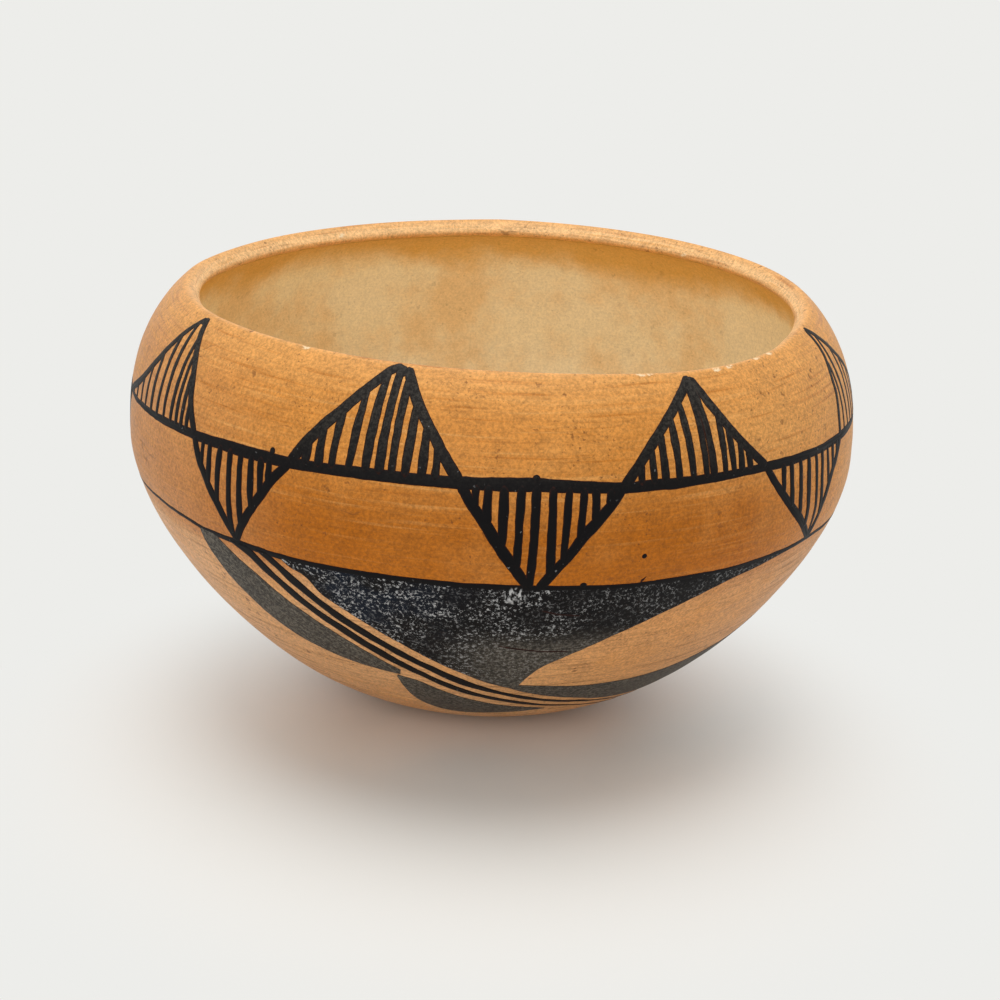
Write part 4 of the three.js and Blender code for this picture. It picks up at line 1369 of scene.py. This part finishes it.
def make_sweep(stage):
    """A floor that curves up into a backdrop behind the bowl."""
    profile = [(FLOOR_FRONT, 0.0), (FLOOR_BACK, 0.0)]
    for step in range(1, RISE_STEPS + 1):
        turn = step / RISE_STEPS * math.pi / 2
        profile.append((FLOOR_BACK + FLOOR_RISE * math.sin(turn), FLOOR_RISE * (1 - math.cos(turn))))
    profile.append((FLOOR_BACK + FLOOR_RISE, BACKDROP_HEIGHT))
    points = [(x, y, z) for y, z in profile for x in (-FLOOR_HALF, FLOOR_HALF)]
    faces = [(2 * k, 2 * k + 1, 2 * k + 3, 2 * k + 2) for k in range(len(profile) - 1)]
    mesh = bpy.data.meshes.new("paper_sweep")
    mesh.from_pydata(points, [], faces)
    mesh.polygons.foreach_set("use_smooth", [True] * len(mesh.polygons))
    mesh.materials.append(stage_material(stage))
    sweep = linked("paper_sweep", mesh)


def add_lamp(name, place, width, power):
    """A soft round lamp that faces the bowl."""
    lamp = bpy.data.lights.new(name, "AREA")
    lamp.shape = "DISK"
    lamp.size = width
    lamp.energy = power
    held = linked(name, lamp)
    held.location = place
    held.rotation_euler = (Vector(LAMP_TARGET) - Vector(place)).to_track_quat("-Z", "Y").to_euler()


def make_world():
    """Even light from all round, which shows white to the camera and in reflections."""
    world = bpy.data.worlds.new("studio")
    bpy.context.scene.world = world
    world.use_nodes = True
    tree = world.node_tree
    tree.nodes.clear()
    strength = add_node(tree, "ShaderNodeMix", {0: seen_directly(tree), 2: 0.6, 3: 0.85}, data_type="FLOAT")
    shine = add_node(tree, "ShaderNodeBackground", {"Color": (1.0, 0.995, 0.985, 1.0), "Strength": strength})
    shine.into(tree.nodes.new("ShaderNodeOutputWorld").inputs["Surface"])


def make_camera(stage, height):
    """A camera at the photograph's place, with its roll and framing."""
    camera = bpy.data.cameras.new("view")
    camera.lens = stage.lens
    camera.sensor_width = SENSOR_WIDTH
    held = linked("view", camera)
    bpy.context.scene.camera = held
    back = Vector((0, -math.cos(stage.elevation), math.sin(stage.elevation)))
    aim = (-back).to_track_quat("-Z", "Y").to_matrix()
    focal = stage.lens / SENSOR_WIDTH * PICTURE_SIZE
    aside, down = (math.atan((middle - PICTURE_SIZE / 2) / focal) for middle in PICTURE_MIDDLE)
    turned = (aim @ Matrix.Rotation(stage.roll, 3, "Z") @ Matrix.Rotation(aside, 3, "Y")
              @ Matrix.Rotation(down, 3, "X"))
    place = Vector((0, 0, height / 2)) + back * stage.distance
    held.matrix_world = Matrix.Translation(place) @ turned.to_4x4()


class BOWL_OT_stage(bpy.types.Operator):
    """Set the pale floor, the soft lamps and the camera"""
    bl_idname = "bowl.stage"
    bl_label = "Stage"

    def execute(self, context):
        stage = context.scene.bowl_stage
        make_sweep(stage)
        make_world()
        for name, settings in LAMPS.items():
            add_lamp(name, *settings)
        make_camera(stage, context.scene.bowl_form.height)
        return {"FINISHED"}


class BOWL_PT_panel(bpy.types.Panel):
    """The sliders and buttons of the bowl"""
    bl_idname = "BOWL_PT_panel"
    bl_label = "Painted pottery bowl"
    bl_space_type = "VIEW_3D"
    bl_region_type = "UI"
    bl_category = "Bowl"

    def draw(self, context):
        for group in SETTINGS:
            settings = getattr(context.scene, group)
            box = self.layout.box()
            for name in settings.bl_rna.properties.keys():
                if name not in ("rna_type", "name"):
                    box.prop(settings, name)
        for operator in OPERATORS:
            self.layout.operator(operator.bl_idname)


SETTINGS = {
    "bowl_form": BowlForm, "bowl_hand": BowlHand, "bowl_painting": BowlPainting, "bowl_colours": BowlColours,
    "bowl_stage": BowlStage,
}
OPERATORS = (BOWL_OT_clay, BOWL_OT_belt, BOWL_OT_wings, BOWL_OT_stage)


def register():
    """Makes the settings, operators and panel known."""
    for group in (*SETTINGS.values(), *OPERATORS, BOWL_PT_panel):
        bpy.utils.register_class(group)
    for name, group in SETTINGS.items():
        setattr(bpy.types.Scene, name, bpy.props.PointerProperty(type=group))


def unregister():
    """Takes them away again."""
    for name in SETTINGS:
        delattr(bpy.types.Scene, name)
    for group in (BOWL_PT_panel, *reversed(OPERATORS), *reversed(SETTINGS.values())):
        bpy.utils.unregister_class(group)


def main():
    """Builds the bowl and its stage."""
    register()
    view = bpy.context.scene.view_settings
    view.view_transform = "Standard"
    bpy.ops.bowl.clay()
    bpy.ops.bowl.belt()
    bpy.ops.bowl.wings()
    bpy.ops.bowl.stage()
    bpy.data.objects.remove(the_wall().curve)


if __name__ == "__main__":
    main()
